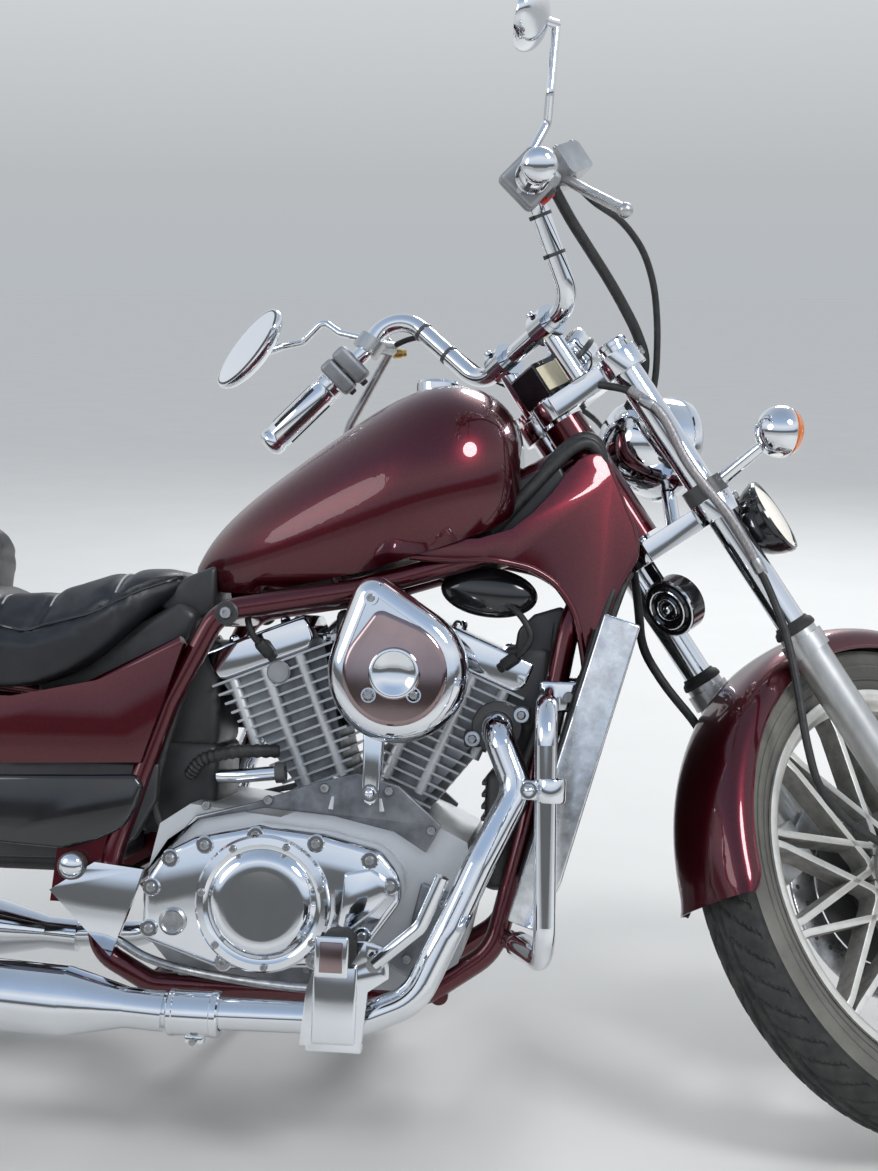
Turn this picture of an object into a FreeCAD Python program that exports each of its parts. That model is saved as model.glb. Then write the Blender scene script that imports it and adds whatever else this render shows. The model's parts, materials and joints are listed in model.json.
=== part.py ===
import FreeCAD, Part
import Sketcher
import math
import os

# A cruiser motorcycle with a liquid cooled V-twin, parked on its side stand.
# Every piece is first laid out on the upright machine, steered straight ahead:
# x runs forward from the rear axle, y to the rider's left, z up from the ground.
# Fork pieces use (ahead, left, along) about the steering axis instead.

os.makedirs("parts", exist_ok=True)
doc = FreeCAD.newDocument("cruiser_motorcycle")

# Driving sizes in millimetres and degrees: alias, value, what it is
SIZES = [
    ("Wheelbase", 1560, "distance between the axles"),
    ("RakeAngle", 34.5, "steering axis back from the vertical"),
    ("TrailLength", 148, "steering axis ahead of the front contact"),
    ("SteerLock", 44, "steering stop to either side"),
    ("LeanAngle", 12.2, "lean to the left on the side stand"),
    ("FrontTyreRadius", 331, "front tyre, to the tread"),
    ("FrontTyreWidth", 100, "front tyre section"),
    ("FrontRimRadius", 252, "front rim, to its flange"),
    ("FrontRimWidth", 74, "front rim over its flanges"),
    ("RearTyreRadius", 317, "rear tyre, to the tread"),
    ("RearTyreWidth", 140, "rear tyre section"),
    ("RearRimRadius", 202, "rear rim, to its flange"),
    ("RearRimWidth", 104, "rear rim over its flanges"),
    ("SpokeCount", 12, "forked spokes of a wheel"),
    ("ForkHalfSpan", 93, "fork leg from the centre plane"),
    ("ForkOffset", 52, "fork legs ahead of the steering axis"),
    ("ForkTubeRadius", 19.5, "chromed fork tube"),
    ("SliderRadius", 24.5, "fork slider"),
    ("SliderTop", 706, "slider's upper end along the axis"),
    ("LowerClampBase", 880, "lower clamp's underside along the axis"),
    ("UpperClampBase", 1102, "upper clamp's underside along the axis"),
    ("ClampHeight", 28, "thickness of both fork clamps"),
    ("StemRadius", 14, "steering stem"),
    ("HeadTubeRadius", 27, "frame's steering head"),
    ("FrameTubeRadius", 14, "main cradle tubes"),
    ("RailTubeRadius", 11, "seat rails and stays"),
    ("SeatedGap", 0.3, "gap between seated pieces"),
    ("RunningGap", 6, "clearance of moving pieces"),
    ("PivotX", 500, "swingarm pivot ahead of the rear axle"),
    ("PivotHeight", 317, "swingarm pivot"),
    ("CrankX", 852, "crankshaft ahead of the rear axle"),
    ("CrankHeight", 268, "crankshaft"),
    ("VeeHalfAngle", 22.5, "cylinder from the vertical"),
    ("BarrelBase", 158, "lowest cylinder fin from the crankshaft"),
    ("BarrelTop", 332, "highest cylinder fin from the crankshaft"),
    ("BarrelHalfDepth", 78, "fins to either side of the centre plane"),
    ("FinCount", 14, "cooling fins on a cylinder"),
    ("FinThickness", 3, "cooling fin"),
    ("RockerHeight", 44, "rocker cover over the top fin"),
    ("CrankcaseHalfWidth", 126, "crankcase without its covers"),
    ("CoverDepth", 62, "clutch cover outside the crankcase"),
    ("PipeRadius", 19, "exhaust pipe"),
    ("MufflerRadius", 42, "muffler"),
    ("CrashBarRadius", 12.5, "engine guard tube"),
    ("BarRadius", 12.7, "handlebar tube"),
    ("GripRadius", 20, "hand grip"),
    ("GripEndSpan", 336, "bar end from the centre plane"),
    ("HeadlightRadius", 72, "headlight over its rim"),
    ("FenderGap", 10, "front fender over the tyre"),
    ("FenderHalfWidth", 64, "front fender"),
    ("SheetThickness", 3, "fenders and side panels"),
    ("RearFenderGap", 40, "rear fender over the tyre"),
    ("RearFenderHalfWidth", 92, "rear fender"),
    ("StandPivotX", 640, "side stand pivot ahead of the rear axle"),
    ("StandSpan", 300, "stand's foot from the centre plane"),
]

sheet = doc.addObject("Spreadsheet::Sheet", "Sizes")
for row, (alias, value, note) in enumerate(SIZES, start=1):
    sheet.set("A%d" % row, alias)
    sheet.set("B%d" % row, str(value))
    sheet.set("C%d" % row, note)
    sheet.setAlias("B%d" % row, alias)
doc.recompute()


def size(alias):
    """The value of one cell of the sheet."""
    return float(sheet.get(alias))


V = FreeCAD.Vector
ALONG_X, ALONG_Y, ALONG_Z = V(1, 0, 0), V(0, 1, 0), V(0, 0, 1)
gap = size("SeatedGap")
running = size("RunningGap")
wheelbase = size("Wheelbase")
rake = math.radians(size("RakeAngle"))
trail = size("TrailLength")
front_radius = size("FrontTyreRadius")
rear_radius = size("RearTyreRadius")
sheet_wall = size("SheetThickness")


# Frames of reference

fork_frame = FreeCAD.Placement(V(wheelbase + trail, 0, 0),
                               FreeCAD.Rotation(ALONG_Y, -size("RakeAngle")))


def fork_point(ahead, left, along):
    """A point given about the steering axis, on the upright machine."""
    return fork_frame.multVec(V(ahead, left, along))


def axle_frame(x, z, left=0):
    """Local z along the axle, which points to the rider's left."""
    return FreeCAD.Placement(V(x, left, z), FreeCAD.Rotation(ALONG_X, -90))


front_axle_along = trail * math.sin(rake) + front_radius * math.cos(rake)
front_axle_ahead = front_radius * math.sin(rake) - trail * math.cos(rake)


def lowest_of_tyre(placement, x, radius, width):
    """Height of the lowest point of a round-crowned tyre once it is placed."""
    crown = width / 2
    centre = placement.multVec(V(x, 0, radius))
    axle = placement.Rotation.multVec(ALONG_Y)
    return centre.z - (radius - crown) * math.sqrt(1 - axle.z ** 2) - crown


def parked_pose(pitch):
    """Lean about the wheels' line after a small pitch that seats both tyres."""
    lean = FreeCAD.Placement(V(), FreeCAD.Rotation(ALONG_X, -size("LeanAngle")))
    nod = FreeCAD.Placement(V(), FreeCAD.Rotation(ALONG_Y, pitch))
    return lean.multiply(nod)


turn = FreeCAD.Placement(V(), FreeCAD.Rotation(fork_frame.Rotation.multVec(ALONG_Z),
                                               size("SteerLock")),
                         fork_frame.Base)


def tyre_step(pitch):
    """Front tyre's lowest point over the rear's, at this pitch."""
    pose = parked_pose(pitch)
    front = lowest_of_tyre(pose.multiply(turn), wheelbase, front_radius,
                           size("FrontTyreWidth"))
    return front - lowest_of_tyre(pose, 0, rear_radius, size("RearTyreWidth"))


low_pitch, high_pitch = -4.0, 4.0
for halving in range(50):
    middle = (low_pitch + high_pitch) / 2
    if tyre_step(middle) > 0:
        low_pitch = middle
    else:
        high_pitch = middle
parked = parked_pose(middle)
floor_level = lowest_of_tyre(parked, 0, rear_radius, size("RearTyreWidth"))
parked = FreeCAD.Placement(V(0, 0, -floor_level), FreeCAD.Rotation()).multiply(parked)
steered = parked.multiply(turn)
to_upright = parked.inverse()

# Sub-parts: name -> (object, pose, local frame)
placed = {}


def keep(obj, name, pose, frame=FreeCAD.Placement()):
    """Label a finished object and remember how it is placed."""
    obj.Label = name
    placed[name] = (obj, pose, frame)
    return obj


def solid_feature(name, shape, pose, frame=FreeCAD.Placement()):
    """A sub-part whose shape is worked out here from the sheet's sizes."""
    if shape.ShapeType == "Compound" and len(shape.Solids) == 1:
        shape = shape.Solids[0]
    obj = doc.addObject("Part::Feature", name)
    obj.Shape = shape
    return keep(obj, name, pose, frame.multiply(shape.Placement))


# Sketched bodies

def origin_feature(body, role):
    """One plane or axis of a body's own origin."""
    for feature in body.Origin.OriginFeatures:
        if feature.Role == role:
            return feature
    raise ValueError(role)


def outline(body, name, plane, corners):
    """A closed sketch; a corner is (x, y), or (x, y, mid x, mid y) at the end of an arc."""
    sketch = body.newObject("Sketcher::SketchObject", name)
    sketch.AttachmentSupport = [(origin_feature(body, plane), "")]
    sketch.MapMode = "FlatFace"

    def worked(text):
        value = sketch.evalExpression(str(text))
        return float(getattr(value, "Value", value))

    points = [V(worked(row[0]), worked(row[1]), 0) for row in corners]
    count = len(corners)
    ends = []
    for index, row in enumerate(corners):
        start, finish = points[index - 1], points[index]
        if len(row) == 4:
            middle_point = V(worked(row[2]), worked(row[3]), 0)
            edge = Part.Arc(start, middle_point, finish)
            number = sketch.addGeometry(edge, False)
            first = sketch.getPoint(number, 1)
            forward = (first - start).Length < (first - finish).Length
            ends.append((number, 1, 2) if forward else (number, 2, 1))
        else:
            number = sketch.addGeometry(Part.LineSegment(start, finish), False)
            ends.append((number, 1, 2))
    for index in range(count):
        number, begin, end = ends[index]
        following = ends[(index + 1) % count]
        sketch.addConstraint(Sketcher.Constraint("Coincident", number, end,
                                                 following[0], following[1]))
    for index, row in enumerate(corners):
        number, begin, end = ends[index]
        pin_point(sketch, number, end, row[0], row[1], points[index])
        if len(row) == 4:
            middle_point = V(worked(row[2]), worked(row[3]), 0)
            mark = sketch.addGeometry(Part.Point(middle_point), True)
            sketch.addConstraint(Sketcher.Constraint("PointOnObject", mark, 1, number))
            pin_point(sketch, mark, 1, row[2], row[3], middle_point)
    return sketch


def pin_point(sketch, number, end, x_text, y_text, point):
    """Bind a sketch point's two distances from the origin to the sheet."""
    for kind, text, value in (("DistanceX", x_text, point.x), ("DistanceY", y_text, point.y)):
        row = sketch.addConstraint(Sketcher.Constraint(kind, -1, 1, number, end, value))
        if isinstance(text, str):
            sketch.setExpression("Constraints[%d]" % row, text)


def revolved_body(name, corners, pose, frame, plane="XZ_Plane", axis="Z_Axis", angle=None):
    """A body turned about its own z axis from (radius, height) corners."""
    body = doc.addObject("PartDesign::Body", name)
    sketch = outline(body, name + "_profile", plane, corners)
    feature = body.newObject("PartDesign::Revolution", name + "_turned")
    feature.Profile = sketch
    feature.ReferenceAxis = (origin_feature(body, axis), [""])
    feature.Angle = 360 if angle is None else angle
    body.Tip = feature
    return keep(body, name, pose, frame)


# Shapes worked out in code

def path_of(points, bend):
    """Straight runs joined by tangent arcs; bend is one radius or one for each inner point."""
    bends = bend if isinstance(bend, (list, tuple)) else [bend] * (len(points) - 2)
    edges = []
    start = points[0]
    for index in range(1, len(points) - 1):
        corner = points[index]
        back = (points[index - 1] - corner).normalize()
        onward = (points[index + 1] - corner).normalize()
        half = math.acos(max(-1, min(1, back.dot(onward)))) / 2
        cut = bends[index - 1] / math.tan(half)
        enter = corner + back * cut
        leave = corner + onward * cut
        inward = (back + onward).normalize()
        middle_point = corner + inward * (bends[index - 1] / math.sin(half) - bends[index - 1])
        if (enter - start).Length > 0.01:
            edges.append(Part.LineSegment(start, enter).toShape())
        edges.append(Part.Arc(enter, middle_point, leave).toShape())
        start = leave
    edges.append(Part.LineSegment(start, points[-1]).toShape())
    return Part.Wire(edges)


def tube(points, radius, bend=40):
    """A round bar along straight runs and tangent arcs."""
    points = [V(*point) for point in points]
    if len(points) == 2:
        return rod(points[0], points[1], radius)
    path = path_of(points, bend)
    ring = Part.Wire([Part.makeCircle(radius, points[0], points[1] - points[0])])
    return path.makePipeShell([ring], True, False)


def rod(start, finish, radius):
    """A straight round bar between two points."""
    start, finish = V(*start), V(*finish)
    along = finish - start
    return Part.makeCylinder(radius, along.Length, start, along)


def taper(start, finish, radius, end_radius):
    """A straight cone between two points."""
    start, finish = V(*start), V(*finish)
    along = finish - start
    return Part.makeCone(radius, end_radius, along.Length, start, along)


def ball(centre, radius):
    """A sphere."""
    return Part.makeSphere(radius, V(*centre))


def block(low, high):
    """A box between two corners."""
    low, high = V(*low), V(*high)
    return Part.makeBox(high.x - low.x, high.y - low.y, high.z - low.z, low)


def slab(corners, y_from, y_to):
    """An outline in side view, given as (x, z), as thick as from one y to the other."""
    points = [V(x, y_from, z) for x, z in corners]
    points.append(points[0])
    return Part.Face(Part.makePolygon(points)).extrude(V(0, y_to - y_from, 0))


def joined(shapes):
    """One solid, or touching solids, from several shapes."""
    shapes = list(shapes)
    if len(shapes) == 1:
        return shapes[0]
    return shapes[0].multiFuse(shapes[1:]).removeSplitter()


def mirrored(shape):
    """The same shape on the machine's other side."""
    return shape.mirror(V(), ALONG_Y)


def both_sides(shape):
    """Two separate solids, one on each side."""
    return Part.makeCompound([shape, mirrored(shape)])


def rounded_box(low, high, radius):
    """A box whose edges along y are rounded."""
    shape = block(low, high)
    edges = [edge for edge in shape.Edges
             if abs(edge.tangentAt(edge.FirstParameter).y) > 0.99]
    return shape.makeFillet(radius, edges)


def hull_of_circles(circles, y_from, y_to):
    """A slab round two circles in side view, given as (x, z, radius)."""
    (ax, az, ar), (bx, bz, br) = circles
    dx, dz = bx - ax, bz - az
    length = math.hypot(dx, dz)
    heading = math.atan2(dz, dx)
    spread = math.acos((ar - br) / length)
    ends = []
    for sign in (1, -1):
        angle = heading + sign * spread
        ends.append((V(ax + ar * math.cos(angle), y_from, az + ar * math.sin(angle)),
                     V(bx + br * math.cos(angle), y_from, bz + br * math.sin(angle))))
    far_a = V(ax - ar * math.cos(heading), y_from, az - ar * math.sin(heading))
    far_b = V(bx + br * math.cos(heading), y_from, bz + br * math.sin(heading))
    edges = [Part.LineSegment(ends[0][0], ends[0][1]).toShape(),
             Part.Arc(ends[0][1], far_b, ends[1][1]).toShape(),
             Part.LineSegment(ends[1][1], ends[1][0]).toShape(),
             Part.Arc(ends[1][0], far_a, ends[0][0]).toShape()]
    return Part.Face(Part.Wire(edges)).extrude(V(0, y_to - y_from, 0))



# Main frame: a double cradle of round tube

tube_radius = size("FrameTubeRadius")
rail_radius = size("RailTubeRadius")
head_radius = size("HeadTubeRadius")
pivot_x, pivot_z = size("PivotX"), size("PivotHeight")
head_low = size("LowerClampBase") + size("ClampHeight") + running
head_high = size("UpperClampBase") - running
HEAD_LOW = fork_point(0, 0, head_low)
HEAD_HIGH = fork_point(0, 0, head_high)
LOW_JOINT = fork_point(-14, 0, head_low + 30)

# One side's cradle loop: x, y, z, bend radius; it starts and ends in the steering head
CRADLE = [
    (HEAD_HIGH.x + 22, 8, HEAD_HIGH.z - 62, 0),
    (1040, 84, 736, 90),
    (837, 104, 672, 150),
    (664, 112, 640, 55),
    (606, 118, 520, 120),
    (548, 128, 340, 120),
    (528, 130, 214, 45),
    (600, 120, 172, 45),
    (940, 112, 172, 60),
    (1026, 108, 232, 70),
    (1060, 100, 380, 120),
    (1104, 76, 640, 140),
    (LOW_JOINT.x, 8, LOW_JOINT.z, 0),
]
SEAT_RAIL = [(622, 112, 598, 0), (460, 106, 512, 60), (240, 106, 530, 120), (60, 106, 600, 90),
             (-90, 106, 640, 0)]
REAR_STAY = [(520, 129, 372, 0), (400, 106, 440, 60), (190, 106, 545, 0)]


PLATE_LOW, PLATE_HIGH = 270, 372
BACKBONE = [(HEAD_HIGH.x + 14, 0, HEAD_HIGH.z - 50), (960, 0, 770), (664, 0, 650)]
BACKBONE_RADIUS = 22

# Cross members: x, half length, z, radius
CROSS_MEMBERS = [(pivot_x + 48, 128, 290, 14), (600, 117, 172, 12), (960, 112, 174, 12),
                 (420, 106, 512, 10), (664, 112, 632, 12)]


def frame_pieces(extra):
    """All of the frame's tubes and plates, fatter by an extra thickness."""
    left = [tube([row[:3] for row in CRADLE], tube_radius + extra, [row[3] for row in CRADLE[1:-1]]),
            tube([row[:3] for row in SEAT_RAIL], rail_radius + extra,
                 [row[3] for row in SEAT_RAIL[1:-1]]),
            tube([row[:3] for row in REAR_STAY], rail_radius + extra, 60),
            slab([(pivot_x - 30 - extra, PLATE_LOW - extra), (545 + extra, PLATE_LOW - extra),
                  (556 + extra, PLATE_HIGH + extra), (pivot_x - 20 - extra, PLATE_HIGH + extra)],
                 112 - extra, 136 + extra)]
    pieces = left + [mirrored(shape) for shape in left]
    for x, half, z, radius in CROSS_MEMBERS:
        pieces.append(rod((x, -half, z), (x, half, z), radius + extra))
    pieces.append(rod(HEAD_LOW, HEAD_HIGH, head_radius + extra))
    pieces.append(tube(BACKBONE, BACKBONE_RADIUS + extra, 160))
    return pieces


# The side stand's place: its foot lies flat on the floor of the parked machine
stand_x, stand_span = size("StandPivotX"), size("StandSpan")
stand_pivot = V(stand_x, 128, 140)
foot_floor = parked.multVec(V(stand_x + 30, stand_span, 0))
foot_floor.z = 0
foot_point = to_upright.multVec(foot_floor + V(0, 0, 6))
folded_point = stand_pivot + V(-182, 10, -16)
stand_axis = (foot_point - stand_pivot).cross(folded_point - stand_pivot).normalize()
STAND_EYE, STAND_EYE_HALF = 15, 5
stand_lug = joined([rod(stand_pivot + stand_axis * (STAND_EYE_HALF + gap),
                        stand_pivot + stand_axis * (STAND_EYE_HALF + 14), STAND_EYE),
                    rod(stand_pivot + stand_axis * (STAND_EYE_HALF + 8),
                        V(stand_x, 118, 172), 9),
                    rod(stand_pivot - stand_axis * STAND_EYE_HALF,
                        stand_pivot + stand_axis * (STAND_EYE_HALF + 10), 6)])
frame_solid = joined(frame_pieces(0) + [stand_lug])
stem_bore = rod(fork_point(0, 0, head_low - 5), fork_point(0, 0, head_high + 5),
                size("StemRadius") + gap)
pivot_bore = rod((pivot_x, -160, pivot_z), (pivot_x, 160, pivot_z), 12 + gap)
frame_solid = frame_solid.cut(stem_bore).cut(pivot_bore)
solid_feature("frame", frame_solid, parked)
frame_room = joined(frame_pieces(gap))


# Neck covers: stamped panels from under the tank to the steering head

def plane_y(x, z):
    """Where the neck panel's plane lies: it closes in towards the head and upwards."""
    return 136 - (x - 837) * 0.26 - (z - 690) * 0.12


NECK = [(905, 735), (905, 715), (985, 705), (1040, 680), (1072, 640), (1080, 565), (1094, 565),
        (1128, 660), (1150, 745), (1100, 800), (1000, 770)]
neck_points = [V(x, plane_y(x, z), z) for x, z in NECK]
neck_face = Part.Face(Part.makePolygon(neck_points + neck_points[:1]))
neck_panel = neck_face.extrude(neck_face.normalAt(0, 0) * sheet_wall)
solid_feature("neck_covers", both_sides(neck_panel.cut(frame_room)), parked)


# Fuel tank: sections along x, each (x, floor, top, half width)

TANK = [(612, 684, 700, 14), (660, 664, 766, 66), (760, 676, 848, 112), (860, 700, 918, 140),
        (945, 730, 946, 146), (1005, 756, 926, 120), (1036, 790, 872, 70)]


def tank_section(x, floor, top, half):
    """A flat floor between two bulging flanks that meet on the top."""
    height = top - floor
    low_left, low_right = V(x, half * 0.82, floor), V(x, -half * 0.82, floor)
    crest_left, crest_right = V(x, half * 0.45, top - height * 0.05), V(x, -half * 0.45,
                                                                        top - height * 0.05)
    return Part.Wire([
        Part.LineSegment(low_right, low_left).toShape(),
        Part.Arc(low_left, V(x, half, floor + height * 0.42), crest_left).toShape(),
        Part.Arc(crest_left, V(x, 0, top), crest_right).toShape(),
        Part.Arc(crest_right, V(x, -half, floor + height * 0.42), low_right).toShape()])


tank_solid = Part.makeLoft([tank_section(*row) for row in TANK], True, False)
neck_room = both_sides(neck_face.extrude(neck_face.normalAt(0, 0) * (sheet_wall + 2)))
tank_room = joined(frame_pieces(1))
tank_solid = tank_solid.cut(tank_room).cut(neck_room)
tank_solid = max(tank_solid.Solids, key=lambda solid: solid.Volume)
cap_seat = rod((921, 0, 900), (921, 0, 990), 28 + gap)
solid_feature("fuel_tank", tank_solid.cut(cap_seat), parked)
revolved_body("fuel_cap", [(0, 0), (28, 0), (28, 48), (26, 52), (0, 54)], parked,
              FreeCAD.Placement(V(921, 0, 900 + gap), FreeCAD.Rotation(ALONG_Y, 0)))


# Seats: sections along x, each (x, floor, top, half width)

def cushion(sections, bulge=0.12):
    """A closed pad between section outlines with rounded shoulders."""
    wires = []
    for x, floor, top, half in sections:
        shoulder = top - (top - floor) * 0.35
        wires.append(Part.Wire([
            Part.LineSegment(V(x, -half * 0.9, floor), V(x, half * 0.9, floor)).toShape(),
            Part.LineSegment(V(x, half * 0.9, floor), V(x, half, shoulder)).toShape(),
            Part.Arc(V(x, half, shoulder), V(x, half * 0.78, top - (top - floor) * bulge),
                     V(x, half * 0.4, top)).toShape(),
            Part.LineSegment(V(x, half * 0.4, top), V(x, -half * 0.4, top)).toShape(),
            Part.Arc(V(x, -half * 0.4, top), V(x, -half * 0.78, top - (top - floor) * bulge),
                     V(x, -half, shoulder)).toShape(),
            Part.LineSegment(V(x, -half, shoulder), V(x, -half * 0.9, floor)).toShape()]))
    return Part.makeLoft(wires, True, False)


rider_seat = cushion([(606, 660, 692, 60), (560, 622, 690, 108), (500, 566, 670, 140),
                      (420, 533, 648, 156), (330, 533, 668, 152)])
pillion_seat = cushion([(326, 650, 742, 118), (240, 642, 772, 120), (110, 640, 782, 112),
                        (0, 640, 768, 92), (-60, 640, 748, 66)])
fender_radius = rear_radius + size("RearFenderGap") + sheet_wall
fender_drum = rod((0, -200, rear_radius), (0, 200, rear_radius), fender_radius + gap)
pillion_seat = pillion_seat.cut(fender_drum).cut(frame_room)
pillion_seat = max(pillion_seat.Solids, key=lambda solid: solid.Volume)
rider_seat = rider_seat.cut(tank_room).cut(tank_solid)
rider_seat = max(rider_seat.Solids, key=lambda solid: solid.Volume)
solid_feature("rider_seat", rider_seat, parked)
solid_feature("pillion_seat", pillion_seat, parked)


# Side covers and the box under them

SIDE_COVER = [(628, 598), (580, 448), (408, 440), (330, 452), (330, 524), (410, 524), (520, 548)]
side_cover = slab(SIDE_COVER, -120, -142).cut(frame_room).cut(rider_seat)
side_cover = max(side_cover.Solids, key=lambda solid: solid.Volume)
solid_feature("side_covers", both_sides(side_cover), parked)
battery = block((408, -146, 366), (516, 146, 436)).cut(frame_room)
solid_feature("battery_box", max(battery.Solids, key=lambda solid: solid.Volume), parked)


# Engine: a heavy block, two finned cylinders at 45 degrees and their covers

crank_x, crank_z = size("CrankX"), size("CrankHeight")
vee = math.radians(size("VeeHalfAngle"))
barrel_base, barrel_top = size("BarrelBase"), size("BarrelTop")
half_depth = size("BarrelHalfDepth")
case_half = size("CrankcaseHalfWidth")
BASE_OUT, BASE_IN, TOP_OUT, TOP_IN = 29, 54, 79, 86


def cylinder_frame(lean):
    """Local z along the cylinder from the crankshaft; lean is -1 for the rear one, 1 for the front."""
    return FreeCAD.Placement(V(crank_x, 0, crank_z),
                             FreeCAD.Rotation(ALONG_Y, lean * size("VeeHalfAngle")))


def vee_point(across, up):
    """Side-view point on the rear cylinder's frame, and its twin on the front's."""
    x = across * math.cos(vee) - up * math.sin(vee)
    z = across * math.sin(vee) + up * math.cos(vee)
    return crank_x + x, crank_z + z


def mirror_x(point):
    """The same side-view point across the vee's middle."""
    return 2 * crank_x - point[0], point[1]


foot = barrel_base - 12
CASE = [(592, 232), (592, 318), (604, 372), (642, 398), vee_point(-BASE_OUT - 14, foot),
        vee_point(foot * math.tan(vee), foot), mirror_x(vee_point(-BASE_OUT - 14, foot)),
        (990, 366), (1002, 300), (984, 218), (930, 180), (640, 180)]
solid_feature("crankcase", slab(CASE, -case_half, case_half).cut(frame_room), parked)


def finned_cylinder(sign):
    """Barrel and head with their fins; sign is -1 where the open flank faces backwards."""
    rise = barrel_top - barrel_base
    pitch = rise / (size("FinCount") - 1)

    def span(up, inset):
        share = (up - barrel_base) / rise
        out = BASE_OUT + (TOP_OUT - BASE_OUT) * share - inset
        inner = BASE_IN + (TOP_IN - BASE_IN) * share - inset
        return (-out, inner) if sign < 0 else (-inner, out)

    low, high = span(barrel_base, 12), span(barrel_top, 12)
    core = slab([(low[0], foot + gap), (low[1], foot + gap), (low[1], barrel_base),
                 (high[1], barrel_top), (high[0], barrel_top), (low[0], barrel_base)],
                -half_depth + 12, half_depth - 12)
    fins = []
    for number in range(int(size("FinCount"))):
        up = barrel_base + number * pitch
        left, right = span(up, 0)
        fins.append(block((left, -half_depth, up - size("FinThickness")), (right, half_depth, up)))
    return joined([core] + fins)


def in_frame(shape, frame):
    """A shape moved from a local frame to the upright machine."""
    moved = shape.copy()
    moved.Placement = frame.multiply(moved.Placement)
    return moved


rear_cylinder = in_frame(finned_cylinder(-1), cylinder_frame(-1))
front_cylinder = in_frame(finned_cylinder(1), cylinder_frame(1))
VEE_GAP, VEE_LOW, VEE_HIGH = 1, 400, 700
vee_gap = slab([(crank_x - VEE_GAP, VEE_LOW), (crank_x - VEE_GAP, VEE_HIGH),
                (crank_x + VEE_GAP, VEE_HIGH), (crank_x + VEE_GAP, VEE_LOW)],
               -200, 200)
rear_cylinder = max(rear_cylinder.cut(vee_gap).Solids, key=lambda solid: solid.Volume)
front_cylinder = max(front_cylinder.cut(vee_gap).Solids, key=lambda solid: solid.Volume)
solid_feature("cylinder_rear", rear_cylinder, parked)
solid_feature("cylinder_front", front_cylinder, parked)


def rocker_cover(sign):
    """A chromed cap over the top fin with rounded upper corners."""
    high = barrel_top + size("RockerHeight")
    left, right = (-74, 66) if sign < 0 else (-66, 74)
    cover = rounded_box((left, -half_depth + 4, barrel_top + gap),
                        (right, half_depth - 4, high + 20), 18)
    return cover.common(block((-200, -200, barrel_top + gap), (200, 200, high)))


rocker_covers = [in_frame(rocker_cover(sign), cylinder_frame(sign)) for sign in (-1, 1)]
solid_feature("rocker_covers", Part.makeCompound(rocker_covers), parked)

CLUTCH_X, CLUTCH_Z = 750, 289
COVER = [(600, 238), (603, 310), (624, 344), (662, 364), (739, 381), (820, 374), (890, 358),
         (915, 330), (917, 298), (882, 248), (820, 214), (700, 206)]
cover_face = -case_half - size("CoverDepth")
side_room = both_sides(slab(COVER, -100, cover_face - 15 - gap))
clutch_cover = joined([slab(COVER, -case_half - gap, cover_face),
                       rod((CLUTCH_X, cover_face + 2, CLUTCH_Z), (CLUTCH_X, cover_face - 8, CLUTCH_Z), 83),
                       rod((CLUTCH_X, cover_face, CLUTCH_Z), (CLUTCH_X, cover_face - 15, CLUTCH_Z), 62)])
solid_feature("clutch_cover", clutch_cover, parked)
generator_cover = joined([slab(COVER, case_half + gap, 166),
                          rod((crank_x - 62, 160, crank_z + 16), (crank_x - 62, 178, crank_z + 16), 70)])
solid_feature("generator_cover", generator_cover, parked)

AIR_CIRCLES = [(902, 573, 85), (872, 660, 28)]
air_cleaner = joined([hull_of_circles(AIR_CIRCLES, -148, -206),
                      rod((902, -204, 573), (902, -210, 573), 60),
                      slab([(856, 512), (886, 512), (880, 410), (860, 410)], -case_half - gap, -150),
                      rod((890, -half_depth - gap, 590), (890, -150, 590), 30)])
solid_feature("air_cleaner", air_cleaner, parked)
intake_cover = joined([mirrored(hull_of_circles([(824, 573, 80), (856, 652, 28)], -148, -200)),
                       rod((836, half_depth + gap, 590), (836, 150, 590), 30)])
solid_feature("intake_cover", intake_cover, parked)


# Exhaust: the front cylinder's on the right, the rear cylinder's on the left

pipe_radius, muffler_radius = size("PipeRadius"), size("MufflerRadius")
PORT_Y = half_depth + gap
FRONT_PIPE = [(1020, -PORT_Y, 508), (1020, -136, 508), (1052, -152, 436), (1010, -184, 350),
              (976, -204, 270), (940, -214, 190), (880, -216, 164), (640, -216, 160)]
FRONT_BENDS = [30, 44, 90, 90, 60, 60]
REAR_PIPE = [(684, PORT_Y, 508), (684, 140, 508), (646, 170, 430), (606, 194, 300), (560, 210, 205),
             (496, 216, 168), (400, 216, 162)]
REAR_BENDS = [30, 60, 80, 80, 50]


def muffler(start_x, y, end_x):
    """A collar, a cone and a long barrel with a rolled tail, rising a little to the rear."""
    rise = 0.05
    z = 160
    collar, cone, tail = start_x - 46, start_x - 120, end_x

    def at(x):
        return V(x, y, z + (start_x - x) * rise)

    return joined([rod(at(start_x), at(collar), 24), taper(at(collar), at(cone), 24, muffler_radius),
                   rod(at(cone), at(tail + 30), muffler_radius),
                   taper(at(tail + 30), at(tail), muffler_radius, muffler_radius - 6)]
                  ).cut(rod(at(tail + 60), at(tail - 1), 22))


front_exhaust = joined([tube(FRONT_PIPE, pipe_radius, FRONT_BENDS),
                        muffler(642, -216, -130)])
rear_exhaust = joined([tube(REAR_PIPE, pipe_radius, REAR_BENDS),
                       muffler(402, 216, -130)])
front_room = joined([tube(FRONT_PIPE, pipe_radius + gap, FRONT_BENDS),
                     rod((560, -216, 160), (700, -216, 160), 24 + gap)])
solid_feature("exhaust_right", front_exhaust, parked)
solid_feature("exhaust_left", rear_exhaust, parked)


# Radiator with its chromed side covers, and the engine guard

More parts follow.
